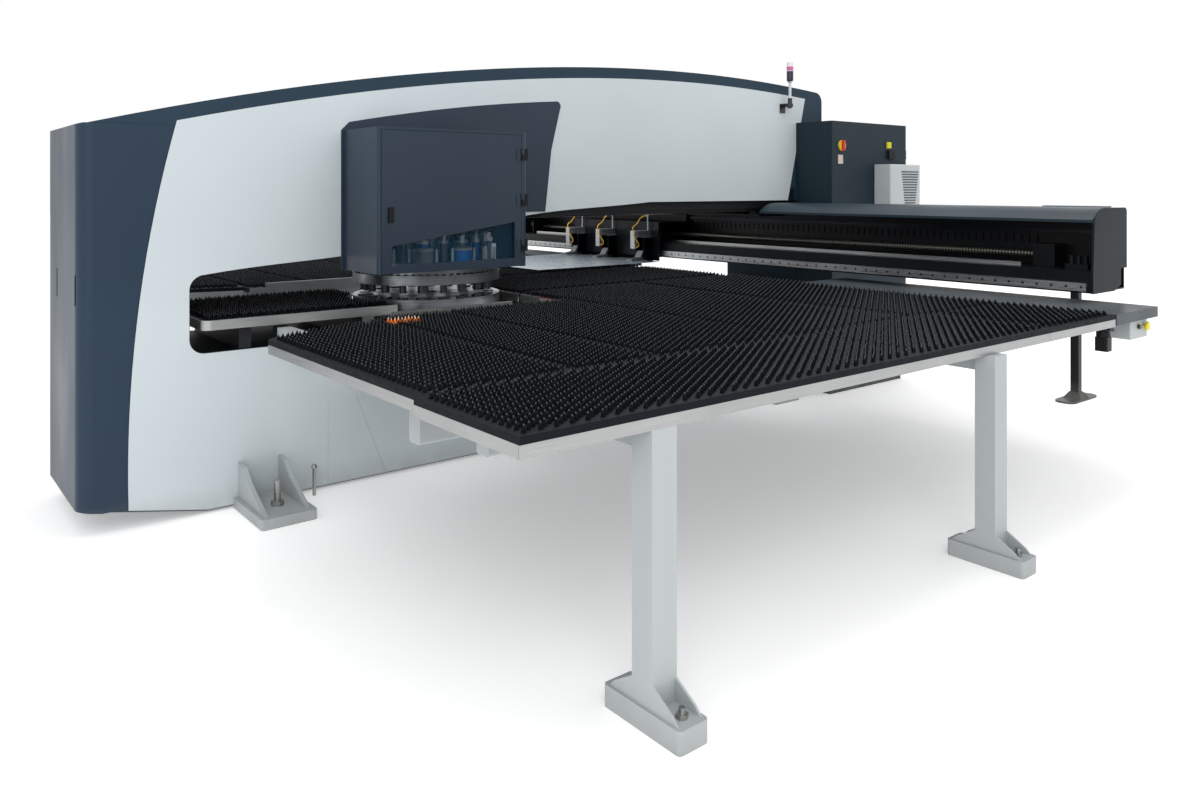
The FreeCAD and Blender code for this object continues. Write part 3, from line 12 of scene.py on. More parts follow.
import bpy
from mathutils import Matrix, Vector


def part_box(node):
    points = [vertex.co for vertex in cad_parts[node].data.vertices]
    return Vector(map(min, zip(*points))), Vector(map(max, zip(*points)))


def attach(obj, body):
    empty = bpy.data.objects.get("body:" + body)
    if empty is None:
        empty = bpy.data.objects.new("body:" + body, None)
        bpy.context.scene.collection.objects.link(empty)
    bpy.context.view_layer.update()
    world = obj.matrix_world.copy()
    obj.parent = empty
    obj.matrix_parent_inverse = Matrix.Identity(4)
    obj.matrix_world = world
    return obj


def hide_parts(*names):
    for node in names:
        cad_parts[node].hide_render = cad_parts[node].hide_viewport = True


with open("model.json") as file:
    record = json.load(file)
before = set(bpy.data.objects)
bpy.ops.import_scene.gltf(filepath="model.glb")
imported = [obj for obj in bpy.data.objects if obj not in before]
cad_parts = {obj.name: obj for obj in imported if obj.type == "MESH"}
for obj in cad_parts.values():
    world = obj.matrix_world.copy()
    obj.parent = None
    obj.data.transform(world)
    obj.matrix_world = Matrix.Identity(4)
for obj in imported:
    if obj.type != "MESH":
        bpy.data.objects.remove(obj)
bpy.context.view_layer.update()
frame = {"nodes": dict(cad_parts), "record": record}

# %% [markdown]
# ## Where things are
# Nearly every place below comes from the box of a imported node, so a change in the solids
# carries through. `middle` and `span` turn a box's two corners into a centre and a size.
# The punch itself has no node that ends on its line, so its distance from the frame's rear
# end is given.

# %% Measure the machine
MM = 0.001
PUNCH_FROM_REAR = 2.246


def middle(node):
    low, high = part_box(node)
    return (Vector(low) + Vector(high)) / 2


def span(node):
    low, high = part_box(node)
    return Vector(high) - Vector(low)


turret_centre = middle("upper_turret")
rear_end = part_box("press_frame")[0].y
punch_y = rear_end + PUNCH_FROM_REAR
print("turret centre", [round(v, 3) for v in turret_centre], "punch line y", round(punch_y, 3))

# %% [markdown]
# ## Camera and light first
# The machine is seen from the loading side, from a step past its rear end, at standing eye
# height with the camera held level. A level camera keeps every upright edge upright, and
# the shift lowers the view instead of tilting it. Light is a pale room with two wide soft
# panels, one on the near side and one overhead, as in a studio, so paint reads as paint and
# not as glare.

# %% Stand the camera at eye height
EYE_HEIGHT = 1.6
EYE_TO_THE_SIDE = 5.128
EYE_PAST_THE_REAR = 0.784
HEADING = math.radians(51.0)
LEVEL = math.radians(90)
LENS = 27.585
LOWERED = -0.1767

camera_data = bpy.data.cameras.new("eye")
camera_data.sensor_width = 36.0
camera_data.lens = LENS
camera_data.shift_y = LOWERED
camera_data.clip_end = 100.0
camera = bpy.data.objects.new("eye", camera_data)
camera.location = (EYE_TO_THE_SIDE, rear_end - EYE_PAST_THE_REAR, EYE_HEIGHT)
camera.rotation_euler = (LEVEL, 0.0, HEADING)
bpy.context.scene.collection.objects.link(camera)
bpy.context.scene.camera = camera
print("camera at", [round(v, 3) for v in camera.location])

# %% Pale room and soft panels
room = bpy.data.worlds.new("pale_room")
room.use_nodes = True
room.node_tree.nodes["Background"].inputs["Color"].default_value = (1.0, 1.0, 1.0, 1.0)
room.node_tree.nodes["Background"].inputs["Strength"].default_value = 1.0
bpy.context.scene.world = room
bpy.context.scene.view_settings.view_transform = "Standard"


def soft_panel(name, place, towards, size, power):
    """A square area light at one place, turned to face another."""
    data = bpy.data.lights.new(name, "AREA")
    data.size = size
    data.energy = power
    panel = bpy.data.objects.new(name, data)
    panel.location = place
    panel.rotation_euler = (Vector(towards) - Vector(place)).to_track_quat("-Z", "Y").to_euler()
    bpy.context.scene.collection.objects.link(panel)
    return panel


soft_panel("near_panel", (7.0, -5.5, 5.0), (0.5, 0.0, 1.0), 4.0, 150.0)
soft_panel("top_panel", (1.0, 0.5, 6.5), (1.0, 0.5, 0.0), 5.0, 170.0)
print("lights", len(bpy.data.lights))

# %% [markdown]
# ## Small helpers for node trees
# Materials and geometry trees are both graphs. A few helpers keep their making short: one
# adds a node with its settings, one fills a socket with a value or a link, one is a piece
# of arithmetic, and two take a vector apart and put it together.


# %% Graph helpers
def put(tree, kind, **settings):
    made = tree.nodes.new(kind)
    for name, value in settings.items():
        setattr(made, name, value)
    return made


def feed(tree, source, socket):
    if isinstance(source, bpy.types.NodeSocket):
        tree.links.new(source, socket)
    else:
        socket.default_value = source


def maths(tree, operation, *values):
    made = put(tree, "ShaderNodeMath", operation=operation)
    for value, socket in zip(values, made.inputs):
        feed(tree, value, socket)
    return made.outputs[0]


def split(tree, where):
    made = put(tree, "ShaderNodeSeparateXYZ")
    feed(tree, where, made.inputs[0])
    return made.outputs


def combined(tree, x=0.0, y=0.0, z=0.0):
    made = put(tree, "ShaderNodeCombineXYZ")
    for value, socket in zip((x, y, z), made.inputs):
        feed(tree, value, socket)
    return made.outputs[0]


def shade(colour, factor):
    """A colour made lighter or darker by a factor, with its alpha."""
    return tuple(min(1.0, c * factor) for c in colour[:3]) + (1.0,)


# %% [markdown]
# ## Parts of a finish
# A material starts as a principled shader that reads the mesh's own coordinates. Noise at
# one scale gives clouds of colour, at another the fine texture of paint, and stretched
# along one axis the lines that a grinding belt leaves.


# %% Parts that every finish uses
def start_finish(name):
    material = bpy.data.materials.new(name)
    material.use_nodes = True
    tree = material.node_tree
    where = put(tree, "ShaderNodeTexCoord").outputs["Object"]
    return material, tree, tree.nodes["Principled BSDF"], where


def noise(tree, where, scale, detail=2.0, stretch=(1.0, 1.0, 1.0)):
    mapping = put(tree, "ShaderNodeMapping")
    feed(tree, where, mapping.inputs["Vector"])
    feed(tree, stretch, mapping.inputs["Scale"])
    cloud = put(tree, "ShaderNodeTexNoise")
    feed(tree, mapping.outputs["Vector"], cloud.inputs["Vector"])
    feed(tree, scale, cloud.inputs["Scale"])
    feed(tree, detail, cloud.inputs["Detail"])
    return cloud.outputs["Fac"]


def ramp(tree, factor, stops, sharp=False):
    made = put(tree, "ShaderNodeValToRGB")
    made.color_ramp.interpolation = "CONSTANT" if sharp else "LINEAR"
    feed(tree, factor, made.inputs["Fac"])
    elements = made.color_ramp.elements
    while len(elements) < len(stops):
        elements.new(1.0)
    for element, (position, colour) in zip(elements, stops):
        element.position = position
        element.color = shade(colour, 1.0)
    return made.outputs["Color"]


def spread(tree, factor, low, high):
    """Turn a noise value into a range, such as of roughness."""
    made = put(tree, "ShaderNodeMapRange")
    feed(tree, factor, made.inputs["Value"])
    feed(tree, 0.3, made.inputs["From Min"])
    feed(tree, 0.7, made.inputs["From Max"])
    feed(tree, low, made.inputs["To Min"])
    feed(tree, high, made.inputs["To Max"])
    return made.outputs["Result"]


def raise_grain(tree, shader, height, strength, distance):
    bump = put(tree, "ShaderNodeBump")
    feed(tree, height, bump.inputs["Height"])
    feed(tree, strength, bump.inputs["Strength"])
    feed(tree, distance, bump.inputs["Distance"])
    feed(tree, bump.outputs["Normal"], shader.inputs["Normal"])


def within(tree, parts, low, high):
    """One inside a box and nothing outside it, for marks painted on a small area."""
    inside = 1.0
    for axis, (start, stop) in enumerate(zip(low, high)):
        for test, limit in (("GREATER_THAN", start), ("LESS_THAN", stop)):
            if limit is not None:
                inside = maths(tree, "MULTIPLY", inside, maths(tree, test, parts[axis], limit))
    return inside


def mixed(tree, factor, first, second):
    made = put(tree, "ShaderNodeMix", data_type="RGBA")
    feed(tree, factor, made.inputs[0])
    feed(tree, first, made.inputs[6])
    feed(tree, second, made.inputs[7])
    return made.outputs[2]


def two_tone(tree, factor, colour, darker, lighter, low=0.3, high=0.7):
    """A colour that drifts between a darker and a lighter shade of itself."""
    return ramp(tree, factor, [(low, shade(colour, darker)), (high, shade(colour, lighter))])


def with_marks(tree, where, body, marks):
    """marks: (low corner, high corner, colour) of areas in another colour."""
    for low, high, mark in marks:
        area = within(tree, split(tree, where), low, high)
        body = mixed(tree, area, body, shade(mark, 1.0))
    return body


# %% [markdown]
# ## Painted sheet metal
# Machine paint is sprayed: nearly one colour, with an orange-peel skin that only shows
# where light grazes it, and floor dust that gathers on the lowest hand's breadth. Clouds
# change the colour by a few percent, a very fine noise makes the peel, and height above
# the floor brings in the dust.


# %% Paint
DUST_TOP = 0.14
DUST = (0.24, 0.235, 0.22, 1.0)


def painted(name, colour, roughness=0.42, mottle=0.05, peel=0.08, gloss=0.3, marks=()):
    material, tree, shader, where = start_finish(name)
    clouds = noise(tree, where, 1.7, 3.0)
    body = two_tone(tree, clouds, colour, 1 - mottle, 1 + mottle)
    height = split(tree, where)[2]
    smudge = noise(tree, where, 9.0, 4.0)
    low = maths(tree, "SUBTRACT", DUST_TOP, height)
    dust = maths(tree, "MULTIPLY", maths(tree, "MAXIMUM", low, 0.0), smudge)
    dust = maths(tree, "MINIMUM", maths(tree, "MULTIPLY", dust, 5.0), 0.5)
    body = with_marks(tree, where, mixed(tree, dust, body, DUST), marks)
    feed(tree, body, shader.inputs["Base Color"])
    shader.inputs["Specular IOR Level"].default_value = gloss
    wiped = noise(tree, where, 3.0, 2.0, (1.0, 1.0, 0.35))
    feed(tree, spread(tree, wiped, roughness - 0.05, roughness + 0.07), shader.inputs["Roughness"])
    raise_grain(tree, shader, noise(tree, where, 620.0, 1.0), peel, 0.0004)
    return material


# %% [markdown]
# ## Ground, brushed and turned steel
# Bare steel shows how it was cut. Rails and trims carry lines along their length, sheet
# has a faint rolling direction, and turret parts have rings round their axis. The lines
# are noise stretched along one axis; the rings are noise read along the distance from the
# turret's axis, so that they stay round.


# %% Steel with straight lines
def brushed(name, colour, roughness=0.3, along=(0.4, 60.0, 60.0), contrast=0.16, marks=()):
    material, tree, shader, where = start_finish(name)
    lines = noise(tree, where, 12.0, 3.0, along)
    stain = noise(tree, where, 4.0, 3.0)
    body = two_tone(tree, lines, colour, 1 - contrast, 1 + contrast)
    body = mixed(tree, maths(tree, "MULTIPLY", stain, 0.5), body, shade(colour, 0.6))
    feed(tree, with_marks(tree, where, body, marks), shader.inputs["Base Color"])
    shader.inputs["Metallic"].default_value = 1.0
    feed(tree, spread(tree, lines, roughness - 0.06, roughness + 0.12), shader.inputs["Roughness"])
    raise_grain(tree, shader, lines, 0.06, 0.0003)
    return material


# %% Steel turned round the turret's axis
def radius_from(tree, where, axis_at):
    parts = split(tree, where)
    dx = maths(tree, "SUBTRACT", parts[0], axis_at.x)
    dy = maths(tree, "SUBTRACT", parts[1], axis_at.y)
    squares = [maths(tree, "POWER", reach, 2.0) for reach in (dx, dy)]
    return maths(tree, "SQRT", maths(tree, "ADD", *squares))


def rings_round(tree, where, axis_at, scale):
    across = combined(tree, x=radius_from(tree, where, axis_at), z=split(tree, where)[2])
    return noise(tree, across, scale, 2.0)


def turned(name, colour, roughness=0.35, metallic=1.0):
    material, tree, shader, where = start_finish(name)
    rings = rings_round(tree, where, turret_centre, 420.0)
    oil = noise(tree, where, 13.0, 4.0)
    body = two_tone(tree, rings, colour, 0.78, 1.2, 0.35, 0.65)
    feed(tree, mixed(tree, maths(tree, "MULTIPLY", oil, 0.6), body, shade(colour, 0.55)),
         shader.inputs["Base Color"])
    shader.inputs["Metallic"].default_value = metallic
    feed(tree, spread(tree, oil, roughness - 0.1, roughness + 0.15), shader.inputs["Roughness"])
    raise_grain(tree, shader, rings, 0.08, 0.0004)
    return material


# %% [markdown]
# ## Mouldings, castings and rubber
# Plastic and rubber are one colour with a fine pebbled skin. A casting is rougher, with
# coarse and fine grain together.


# %% Moulded and cast
def moulded(name, colour, roughness=0.38, pebble=300.0, strength=0.1, gloss=0.5):
    material, tree, shader, where = start_finish(name)
    shader.inputs["Specular IOR Level"].default_value = gloss
    clouds = noise(tree, where, 22.0, 3.0)
    body = two_tone(tree, clouds, colour, 0.9, 1.08)
    feed(tree, body, shader.inputs["Base Color"])
    feed(tree, spread(tree, clouds, roughness - 0.05, roughness + 0.1), shader.inputs["Roughness"])
    raise_grain(tree, shader, noise(tree, where, pebble, 2.0), strength, 0.0005)
    return material


def cast(name, colour):
    material, tree, shader, where = start_finish(name)
    coarse = noise(tree, where, 45.0, 5.0)
    body = two_tone(tree, coarse, colour, 0.75, 1.2)
    feed(tree, body, shader.inputs["Base Color"])
    shader.inputs["Metallic"].default_value = 0.6
    feed(tree, spread(tree, coarse, 0.45, 0.65), shader.inputs["Roughness"])
    raise_grain(tree, shader, coarse, 0.3, 0.001)
    return material


# %% [markdown]
# ## Window glass
# The door's pane is tinted and a little hazy from years of oil mist. Real refraction would
# need light to find its way in and out of a closed housing, which is slow and dark, so the
# pane is a thin blue film that lets most of the view through.


# %% Tinted pane
PANE_ALPHA = 0.22


def tinted_pane(name, colour):
    material, tree, shader, where = start_finish(name)
    haze = noise(tree, where, 6.0, 3.0)
    body = two_tone(tree, haze, colour, 0.85, 1.1)
    feed(tree, body, shader.inputs["Base Color"])
    feed(tree, spread(tree, haze, 0.02, 0.08), shader.inputs["Roughness"])
    shader.inputs["Specular IOR Level"].default_value = 0.2
    shader.inputs["Alpha"].default_value = PANE_ALPHA
    return material


# %% [markdown]
# ## Finishes in bands
# Some small pieces are several colours in one solid: a lamp stack has a black foot, a
# white pole and coloured lenses. A ramp along the height paints each band in its place.


# %% Bands of colour along an axis
def banded(name, axis, bands, roughness=0.3):
    """bands: (start in metres along the axis, colour), lowest first."""
    material, tree, shader, where = start_finish(name)
    first, last = bands[0][0], bands[-1][0] + 0.1
    along = split(tree, where)[axis]
    place = put(tree, "ShaderNodeMapRange")
    feed(tree, along, place.inputs["Value"])
    feed(tree, first, place.inputs["From Min"])
    feed(tree, last, place.inputs["From Max"])
    stops = [((start - first) / (last - first), colour) for start, colour in bands]
    body = ramp(tree, place.outputs["Result"], stops, sharp=True)
    clouds = noise(tree, where, 60.0, 3.0)
    feed(tree, mixed(tree, maths(tree, "MULTIPLY", clouds, 0.2), body, (0.05, 0.05, 0.05, 1.0)),
         shader.inputs["Base Color"])
    feed(tree, spread(tree, clouds, roughness - 0.05, roughness + 0.1), shader.inputs["Roughness"])
    raise_grain(tree, shader, noise(tree, where, 400.0, 1.0), 0.05, 0.0003)
    return material


# %% [markdown]
# ## Punch tools in their colours
# Tools are stacked cylinders: the spring housing of some is blue, others are bare ground
# steel, and all have a pale striking head. Which is which follows from the angle round the
# turret, in steps of one station, and the head follows from height.

# %% Tool finish
STATIONS = 20
DRUM_FACE = 0.1
STRIKING_HEAD = 0.046
first_station = math.atan2(punch_y - turret_centre.y, -turret_centre.x)


def tool_finish(name, steel, blue, head):
    material, tree, shader, where = start_finish(name)
    parts = split(tree, where)
    dx = maths(tree, "SUBTRACT", parts[0], turret_centre.x)
    dy = maths(tree, "SUBTRACT", parts[1], turret_centre.y)
    turn = maths(tree, "SUBTRACT", maths(tree, "ARCTAN2", dy, dx), first_station)
    turn = maths(tree, "MULTIPLY", turn, STATIONS / (2 * math.pi))
    station = maths(tree, "FLOOR", maths(tree, "ADD", turn, 0.5 + STATIONS))
    every_third = maths(tree, "LESS_THAN", maths(tree, "MODULO", station, 3.0), 0.5)
    turret_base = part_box("upper_turret")[0].z
    above_the_rim = maths(tree, "GREATER_THAN", parts[2], turret_base + DRUM_FACE)
    body = mixed(tree, maths(tree, "MULTIPLY", every_third, above_the_rim), steel, blue)
    # Below the upper turret the tool steel is painted at a third of its brightness: painted shade in the
    # gap under the turret.
    below_turret_painted_shade = maths(tree, "LESS_THAN", parts[2], turret_base)
    body = mixed(tree, below_turret_painted_shade, body, shade(steel, 0.35))
    above = maths(tree, "GREATER_THAN", parts[2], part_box("punch_tools")[1].z - STRIKING_HEAD)
    body = mixed(tree, above, body, head)
    wear = noise(tree, where, 90.0, 3.0)
    feed(tree, mixed(tree, maths(tree, "MULTIPLY", wear, 0.45), body, (0.03, 0.04, 0.05, 1.0)),
         shader.inputs["Base Color"])
    shader.inputs["Metallic"].default_value = 0.45
    feed(tree, spread(tree, wear, 0.22, 0.4), shader.inputs["Roughness"])
    raise_grain(tree, shader, wear, 0.08, 0.0004)
    return material


# %% [markdown]
# ## A finish for each slot
# The record names a material slot for every node. One finish per slot keeps the machine
# consistent: all slate panels come from one spray gun.

# %% Places that wear a second colour
DARK = (0.006, 0.008, 0.011)
DOOR_FROM_BACK = 0.348
PLATE_LIFT = 0.001
lamp_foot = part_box("signal_lamp")[0].z
door_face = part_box("electrical_cabinet")[0].x + DOOR_FROM_BACK
switch_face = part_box("main_switch")[0].x
throat_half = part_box("throat_boards")[1].x
plate_face = door_face + PLATE_LIFT
yellow_plate = ((plate_face, punch_y + 3.5, 1.91), (None, punch_y + 3.6, None), (0.55, 0.5, 0.02))
black_plate = ((plate_face, punch_y + 3.5, None), (None, punch_y + 3.64, 1.915),
               (0.004, 0.004, 0.005))
pale_plate = ((plate_face, None, 1.7), (None, punch_y + 2.96, 1.87), (0.5, 0.42, 0.38))

# %% Marks on the trim, the clamps and the upper rail
STEP_FROM, STEP_TO = 0.674, 0.804
EDGE_BOTTOM, EDGE_SPLIT, EDGE_TOP = 0.9, 0.949, 0.9562
CLAMP_COLUMN_TOP = 1.178
RAIL_HEIGHT = 0.03
step_y = punch_y + 0.13
edge_white = ((STEP_FROM, step_y - 0.02, EDGE_BOTTOM), (STEP_TO, step_y, EDGE_SPLIT), (0.85, 0.85, 0.85))
edge_orange = ((STEP_FROM, step_y - 0.02, EDGE_SPLIT), (STEP_TO, step_y, EDGE_TOP), (0.9, 0.2, 0.01))
clamp_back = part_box("clamp_bodies")[0].y + 0.068
clamp_dark = [((None, clamp_back, None), (None, None, CLAMP_COLUMN_TOP), DARK)]
upper_rail_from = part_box("x_rails")[1].z - RAIL_HEIGHT
upper_rail = [((None, None, upper_rail_from), (None, None, None), (0.02, 0.022, 0.026))]
print("door face", round(door_face, 3), "switch", round(switch_face, 3),
      "throat half", round(throat_half, 3))

# %% Make the finishes
SLATE = (0.011, 0.029, 0.055)
CROWN = (0.02, 0.04, 0.062)
HOUSING = (0.018, 0.032, 0.052)
COVER = (0.014, 0.027, 0.038)
LIGHT = (0.53, 0.585, 0.61)
LEG = (0.4, 0.43, 0.44)

finish_of_slot = {
    "frame_dark": painted("slate_paint", SLATE, 0.4),
    "panel_light": painted("light_panel_paint", LIGHT, 0.48, 0.02),
    "housing_dark": painted("housing_paint", HOUSING, 0.36),
    "leg_light": painted("leg_paint", LEG, 0.5, 0.04),
    "black_metal": painted("black_paint", (0.004, 0.005, 0.007), 0.34, 0.2, 0.08, 0.2),
    "screw_steel": brushed("zinc_screws", (0.42, 0.42, 0.4), 0.4),
    "glass": tinted_pane("door_pane", (0.002, 0.045, 0.09)),
    "turret_steel": turned("oiled_turret", (0.25, 0.27, 0.29), 0.34),
    "tool_steel": tool_finish("tool_colours", (0.1, 0.13, 0.16, 1), (0.01, 0.14, 0.5, 1),
                              (0.6, 0.64, 0.68, 1)),
    "cast": cast("cast_iron", (0.03, 0.036, 0.045)),
    "bright_steel": brushed("ground_steel", (0.5, 0.51, 0.52), 0.26),
    "trim_steel": brushed("brushed_trim", (0.41, 0.415, 0.415), 0.34, (0.6, 0.6, 70.0), 0.16,
                          [edge_white, edge_orange]),
    "board_black": moulded("brush_board", (0.004, 0.006, 0.009), 0.55, 300.0, 0.1, 0.1),
    "bristle_black": moulded("bristle_base", (0.003, 0.004, 0.005), 0.65, 300.0, 0.1, 0.06),
    "plate_grey": painted("load_plate_paint", (0.05, 0.062, 0.073), 0.38, 0.05, 0.08, 0.22),
    "cabinet_blue": painted("cabinet_paint", (0.007, 0.018, 0.028), 0.55, 0.05, 0.2, 0.25,
                            [yellow_plate, black_plate, pale_plate]),
    "cooler_white": painted("cooler_paint", (0.43, 0.455, 0.465), 0.5, 0.03),
    "switch_red": banded("switch_plastic", 0, [(switch_face, (0.7, 0.5, 0.02)),
                                               (door_face + 0.0135, (0.6, 0.02, 0.015))], 0.3),
    "lamp": banded("lamp_bands", 2, [(lamp_foot, (0.006, 0.006, 0.008)),
                                     (lamp_foot + 0.115, (0.6, 0.62, 0.66)),
                                     (lamp_foot + 0.245, (0.006, 0.006, 0.03)),
                                     (lamp_foot + 0.325, (0.5, 0.45, 0.75)),
                                     (lamp_foot + 0.332, (0.62, 0.1, 0.25)),
                                     (lamp_foot + 0.36, (0.8, 0.75, 0.8))], 0.2),
    "button_yellow": moulded("yellow_button", (0.7, 0.6, 0.02), 0.25),
    "button_black": moulded("black_button", (0.006, 0.006, 0.006), 0.3),
    "aluminium": brushed("clamp_aluminium", (0.55, 0.57, 0.59), 0.34, (40.0, 40.0, 0.5), 0.16,
                         clamp_dark),
    "hose_yellow": moulded("hose_rubber", (0.75, 0.42, 0.015), 0.35, 500.0, 0.04),
    "sheet_alu": brushed("sheet_metal", (0.64, 0.74, 0.81), 0.28, (0.3, 30.0, 1.0), 0.05),
    "console_grey": painted("console_paint", (0.05, 0.065, 0.08), 0.45),
}

# %% [markdown]
# ## A few nodes with a finish of their own
# A slot names what a piece is made of, and most nodes wear it plainly. A few do not. The
# beam's upper rail is hidden in shade and oil, the screws carry a running thread whose
# grooves are painted dark as painted shade, the table beams that cross the press's throat
# are painted near-black there as painted shade, the beam's covers are a shade darker than
# the turret housing and their end caps are painted darker still as painted shade, the clamp
# jaws are dull from use and the rails under the throat's roof are near-black steel.
# The frame is flatter than other paint, and inside the throat it is painted near-black as
# painted shade, so that the roof of the throat stays dark instead of mirroring the floor.


# %% Screw thread
def threaded(name, axis, pitch):
    material, tree, shader, where = start_finish(name)
    along = maths(tree, "DIVIDE", maths(tree, "ADD", split(tree, where)[axis], 10.0), pitch)
    wave = maths(tree, "PINGPONG", along, 0.5)
    # Dark bands along the axis are painted shade in the thread's grooves, and the pale bands are its
    # crests.
    body = ramp(tree, maths(tree, "MULTIPLY", wave, 2.0),
                [(0.25, (0.03, 0.03, 0.028)), (0.7, (0.26, 0.25, 0.22))])
    grease = noise(tree, where, 6.0, 3.0)
    feed(tree, mixed(tree, maths(tree, "MULTIPLY", grease, 0.4), body, (0.05, 0.045, 0.035, 1.0)),
         shader.inputs["Base Color"])
    shader.inputs["Metallic"].default_value = 0.8
    feed(tree, spread(tree, grease, 0.28, 0.45), shader.inputs["Roughness"])
    raise_grain(tree, shader, wave, 0.6, 0.002)
    return material


FRAME_INNER = 0.397
# Inside the press's throat the table beams and the frame are painted near-black: painted shade where
# little light reaches.
throat_painted_shade = [((-throat_half - 0.02, None, None), (throat_half + 0.02, None, None), DARK)]
frame_throat_painted_shade = [((-FRAME_INNER, None, 0.75), (FRAME_INNER, punch_y + 2.8, 1.6), DARK)]
jaw_steel = brushed("jaw_steel", (0.2, 0.21, 0.22), 0.42)
finish_of_node = {
    "x_screw": threaded("long_screw_thread", 0, 0.02),
    "y_screw": threaded("frame_screw_thread", 1, 0.02),
    "x_rails": brushed("beam_rails", (0.55, 0.56, 0.57), 0.26, (0.4, 60.0, 60.0), 0.2, upper_rail),
    "y_rails": brushed("throat_rails", (0.05, 0.052, 0.055), 0.5, (60.0, 0.4, 60.0)),
    "press_frame": painted("frame_paint", CROWN, 0.5, 0.05, 0.1, 0.16, frame_throat_painted_shade),
    "beam_covers": painted("beam_cover_paint", COVER, 0.4),
    # The end caps wear the covers' paint at under half its brightness: painted shade on faces turned
    # from the light.
    "beam_end_caps": painted("beam_cap_paint_with_painted_shade", shade(COVER, 0.45), 0.45, 0.05, 0.08, 0.12),
    "clamp_jaw_1": jaw_steel,
    "clamp_jaw_2": jaw_steel,
    "clamp_jaw_3": jaw_steel,
    "table_frames": painted("table_frame_paint", LEG, 0.5, 0.04, 0.08, 0.3, throat_painted_shade),
}
print("finishes", len(finish_of_slot) + len(finish_of_node))


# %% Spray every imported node
def wear_finish(node, material):
    mesh = frame["nodes"][node].data
    mesh.materials.clear()
    mesh.materials.append(material)


for part in frame["record"]["subparts"]:
    slot_finish = finish_of_slot[part["material_slot"]]
    wear_finish(part["node"], finish_of_node.get(part["node"], slot_finish))

# %% [markdown]
# ## How repeats are grown
# Brushes, bolts and slats are one small shape set down many times. A Geometry Nodes tree
# says that rule once, with its sizes as inputs. `grow` runs a tree on a mesh, keeps the
# result as a plain mesh and throws the modifier away, because the finished model may hold
# only real faces.

# %% Growing a mesh from a tree
SOCKET_KINDS = {float: "NodeSocketFloat", int: "NodeSocketInt"}


def new_rule(name, **inputs):
    """A geometry tree with a Geometry input, named inputs with defaults, and a Finish."""
    tree = bpy.data.node_groups.new(name, "GeometryNodeTree")
    tree.interface.new_socket("Geometry", in_out="OUTPUT", socket_type="NodeSocketGeometry")
    tree.interface.new_socket("Geometry", in_out="INPUT", socket_type="NodeSocketGeometry")
    for label, value in inputs.items():
        socket = tree.interface.new_socket(label, in_out="INPUT",
                                           socket_type=SOCKET_KINDS[type(value)])
        socket.default_value = value
    tree.interface.new_socket("Finish", in_out="INPUT", socket_type="NodeSocketMaterial")
    return tree, put(tree, "NodeGroupInput").outputs, put(tree, "NodeGroupOutput").inputs[0]


def end_rule(tree, given, instances, output):
    """Every rule ends alike: real faces, then the finish."""
    real = put(tree, "GeometryNodeRealizeInstances")
    feed(tree, instances, real.inputs["Geometry"])
    dressed = put(tree, "GeometryNodeSetMaterial")
    feed(tree, real.outputs["Geometry"], dressed.inputs["Geometry"])
    feed(tree, given["Finish"], dressed.inputs["Material"])
    feed(tree, dressed.outputs["Geometry"], output)


def grow(name, tree, base, finish, **sizes):
    """Run a rule on a base mesh and return an object with the plain result."""
    grown = bpy.data.objects.new(name, base)
    bpy.context.scene.collection.objects.link(grown)
    modifier = grown.modifiers.new("rule", "NODES")
    modifier.node_group = tree
    sizes["Finish"] = finish
    for socket in tree.interface.items_tree:
        if socket.in_out == "INPUT" and socket.name in sizes:
            modifier[socket.identifier] = sizes[socket.name]
    graph = bpy.context.evaluated_depsgraph_get()
    result = bpy.data.meshes.new_from_object(grown.evaluated_get(graph))
    result.name = name
    grown.modifiers.remove(modifier)
    grown.data = result
    print(name, "faces", len(result.polygons))
    return grown


def dots(name, places):
    """A mesh of loose points, to set shapes down on."""
    mesh = bpy.data.meshes.new(name)
    mesh.from_pydata([tuple(p) for p in places], [], [])
    return mesh


def set_down(tree, points, shape, turn=None, size=None):
    made = put(tree, "GeometryNodeInstanceOnPoints")
    feed(tree, points, made.inputs["Points"])
    feed(tree, shape, made.inputs["Instance"])
    if turn is not None:
        feed(tree, turn, made.inputs["Rotation"])
    if size is not None:
        feed(tree, size, made.inputs["Scale"])
    return made.outputs["Instances"]


def moved(tree, shape, place=(0, 0, 0), turn=(0, 0, 0)):
    made = put(tree, "GeometryNodeTransform")
    feed(tree, shape, made.inputs["Geometry"])
    feed(tree, place, made.inputs["Translation"])
    feed(tree, turn, made.inputs["Rotation"])
    return made.outputs["Geometry"]


def joined_shapes(tree, *shapes):
    made = put(tree, "GeometryNodeJoinGeometry")
    for shape in shapes:
        feed(tree, shape, made.inputs[0])
    return made.outputs[0]


# %% [markdown]
# ## The brush tables
# Sheet metal glides over the tables on tufts of stiff bristle, set in staggered rows on
# black boards. Each tuft is drawn to a point, and its colour runs from root to a paler tip:
# the pale tip is a painted highlight where light catches the tips, and the near-black root of
# the black tufts is painted shade between them. The boards have cut corners and bites taken
# out of them, so a plain array would hang tufts in the air: instead a full grid of points is
# cast down onto each packed brush field, and the points that miss are dropped. A tuft is a
# five-sided spike, because thousands of them need a shape with few faces.

# %% Tuft finish
# Colour from root to tip of a tuft: the pale tips are painted highlight, the near-black roots of the
# black tufts painted shade.
BLACK_TUFT_WITH_PAINTED_LIGHT = [(0.0, (0.001, 0.001, 0.002)), (0.75, (0.003, 0.004, 0.006)), (0.95, (0.13, 0.14, 0.15))]
ORANGE_TUFT_WITH_PAINTED_LIGHT = [(0.0, (0.75, 0.16, 0.01)), (0.6, (0.8, 0.2, 0.02)), (0.9, (0.85, 0.8, 0.7))]
tip_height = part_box("brush_fields_front")[1].z
root_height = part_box("brush_boards_front")[1].z
marker_low = turret_centre + Vector((0.89, -0.735, 0.0))
marker_high = turret_centre + Vector((0.985, -0.545, 0.0))


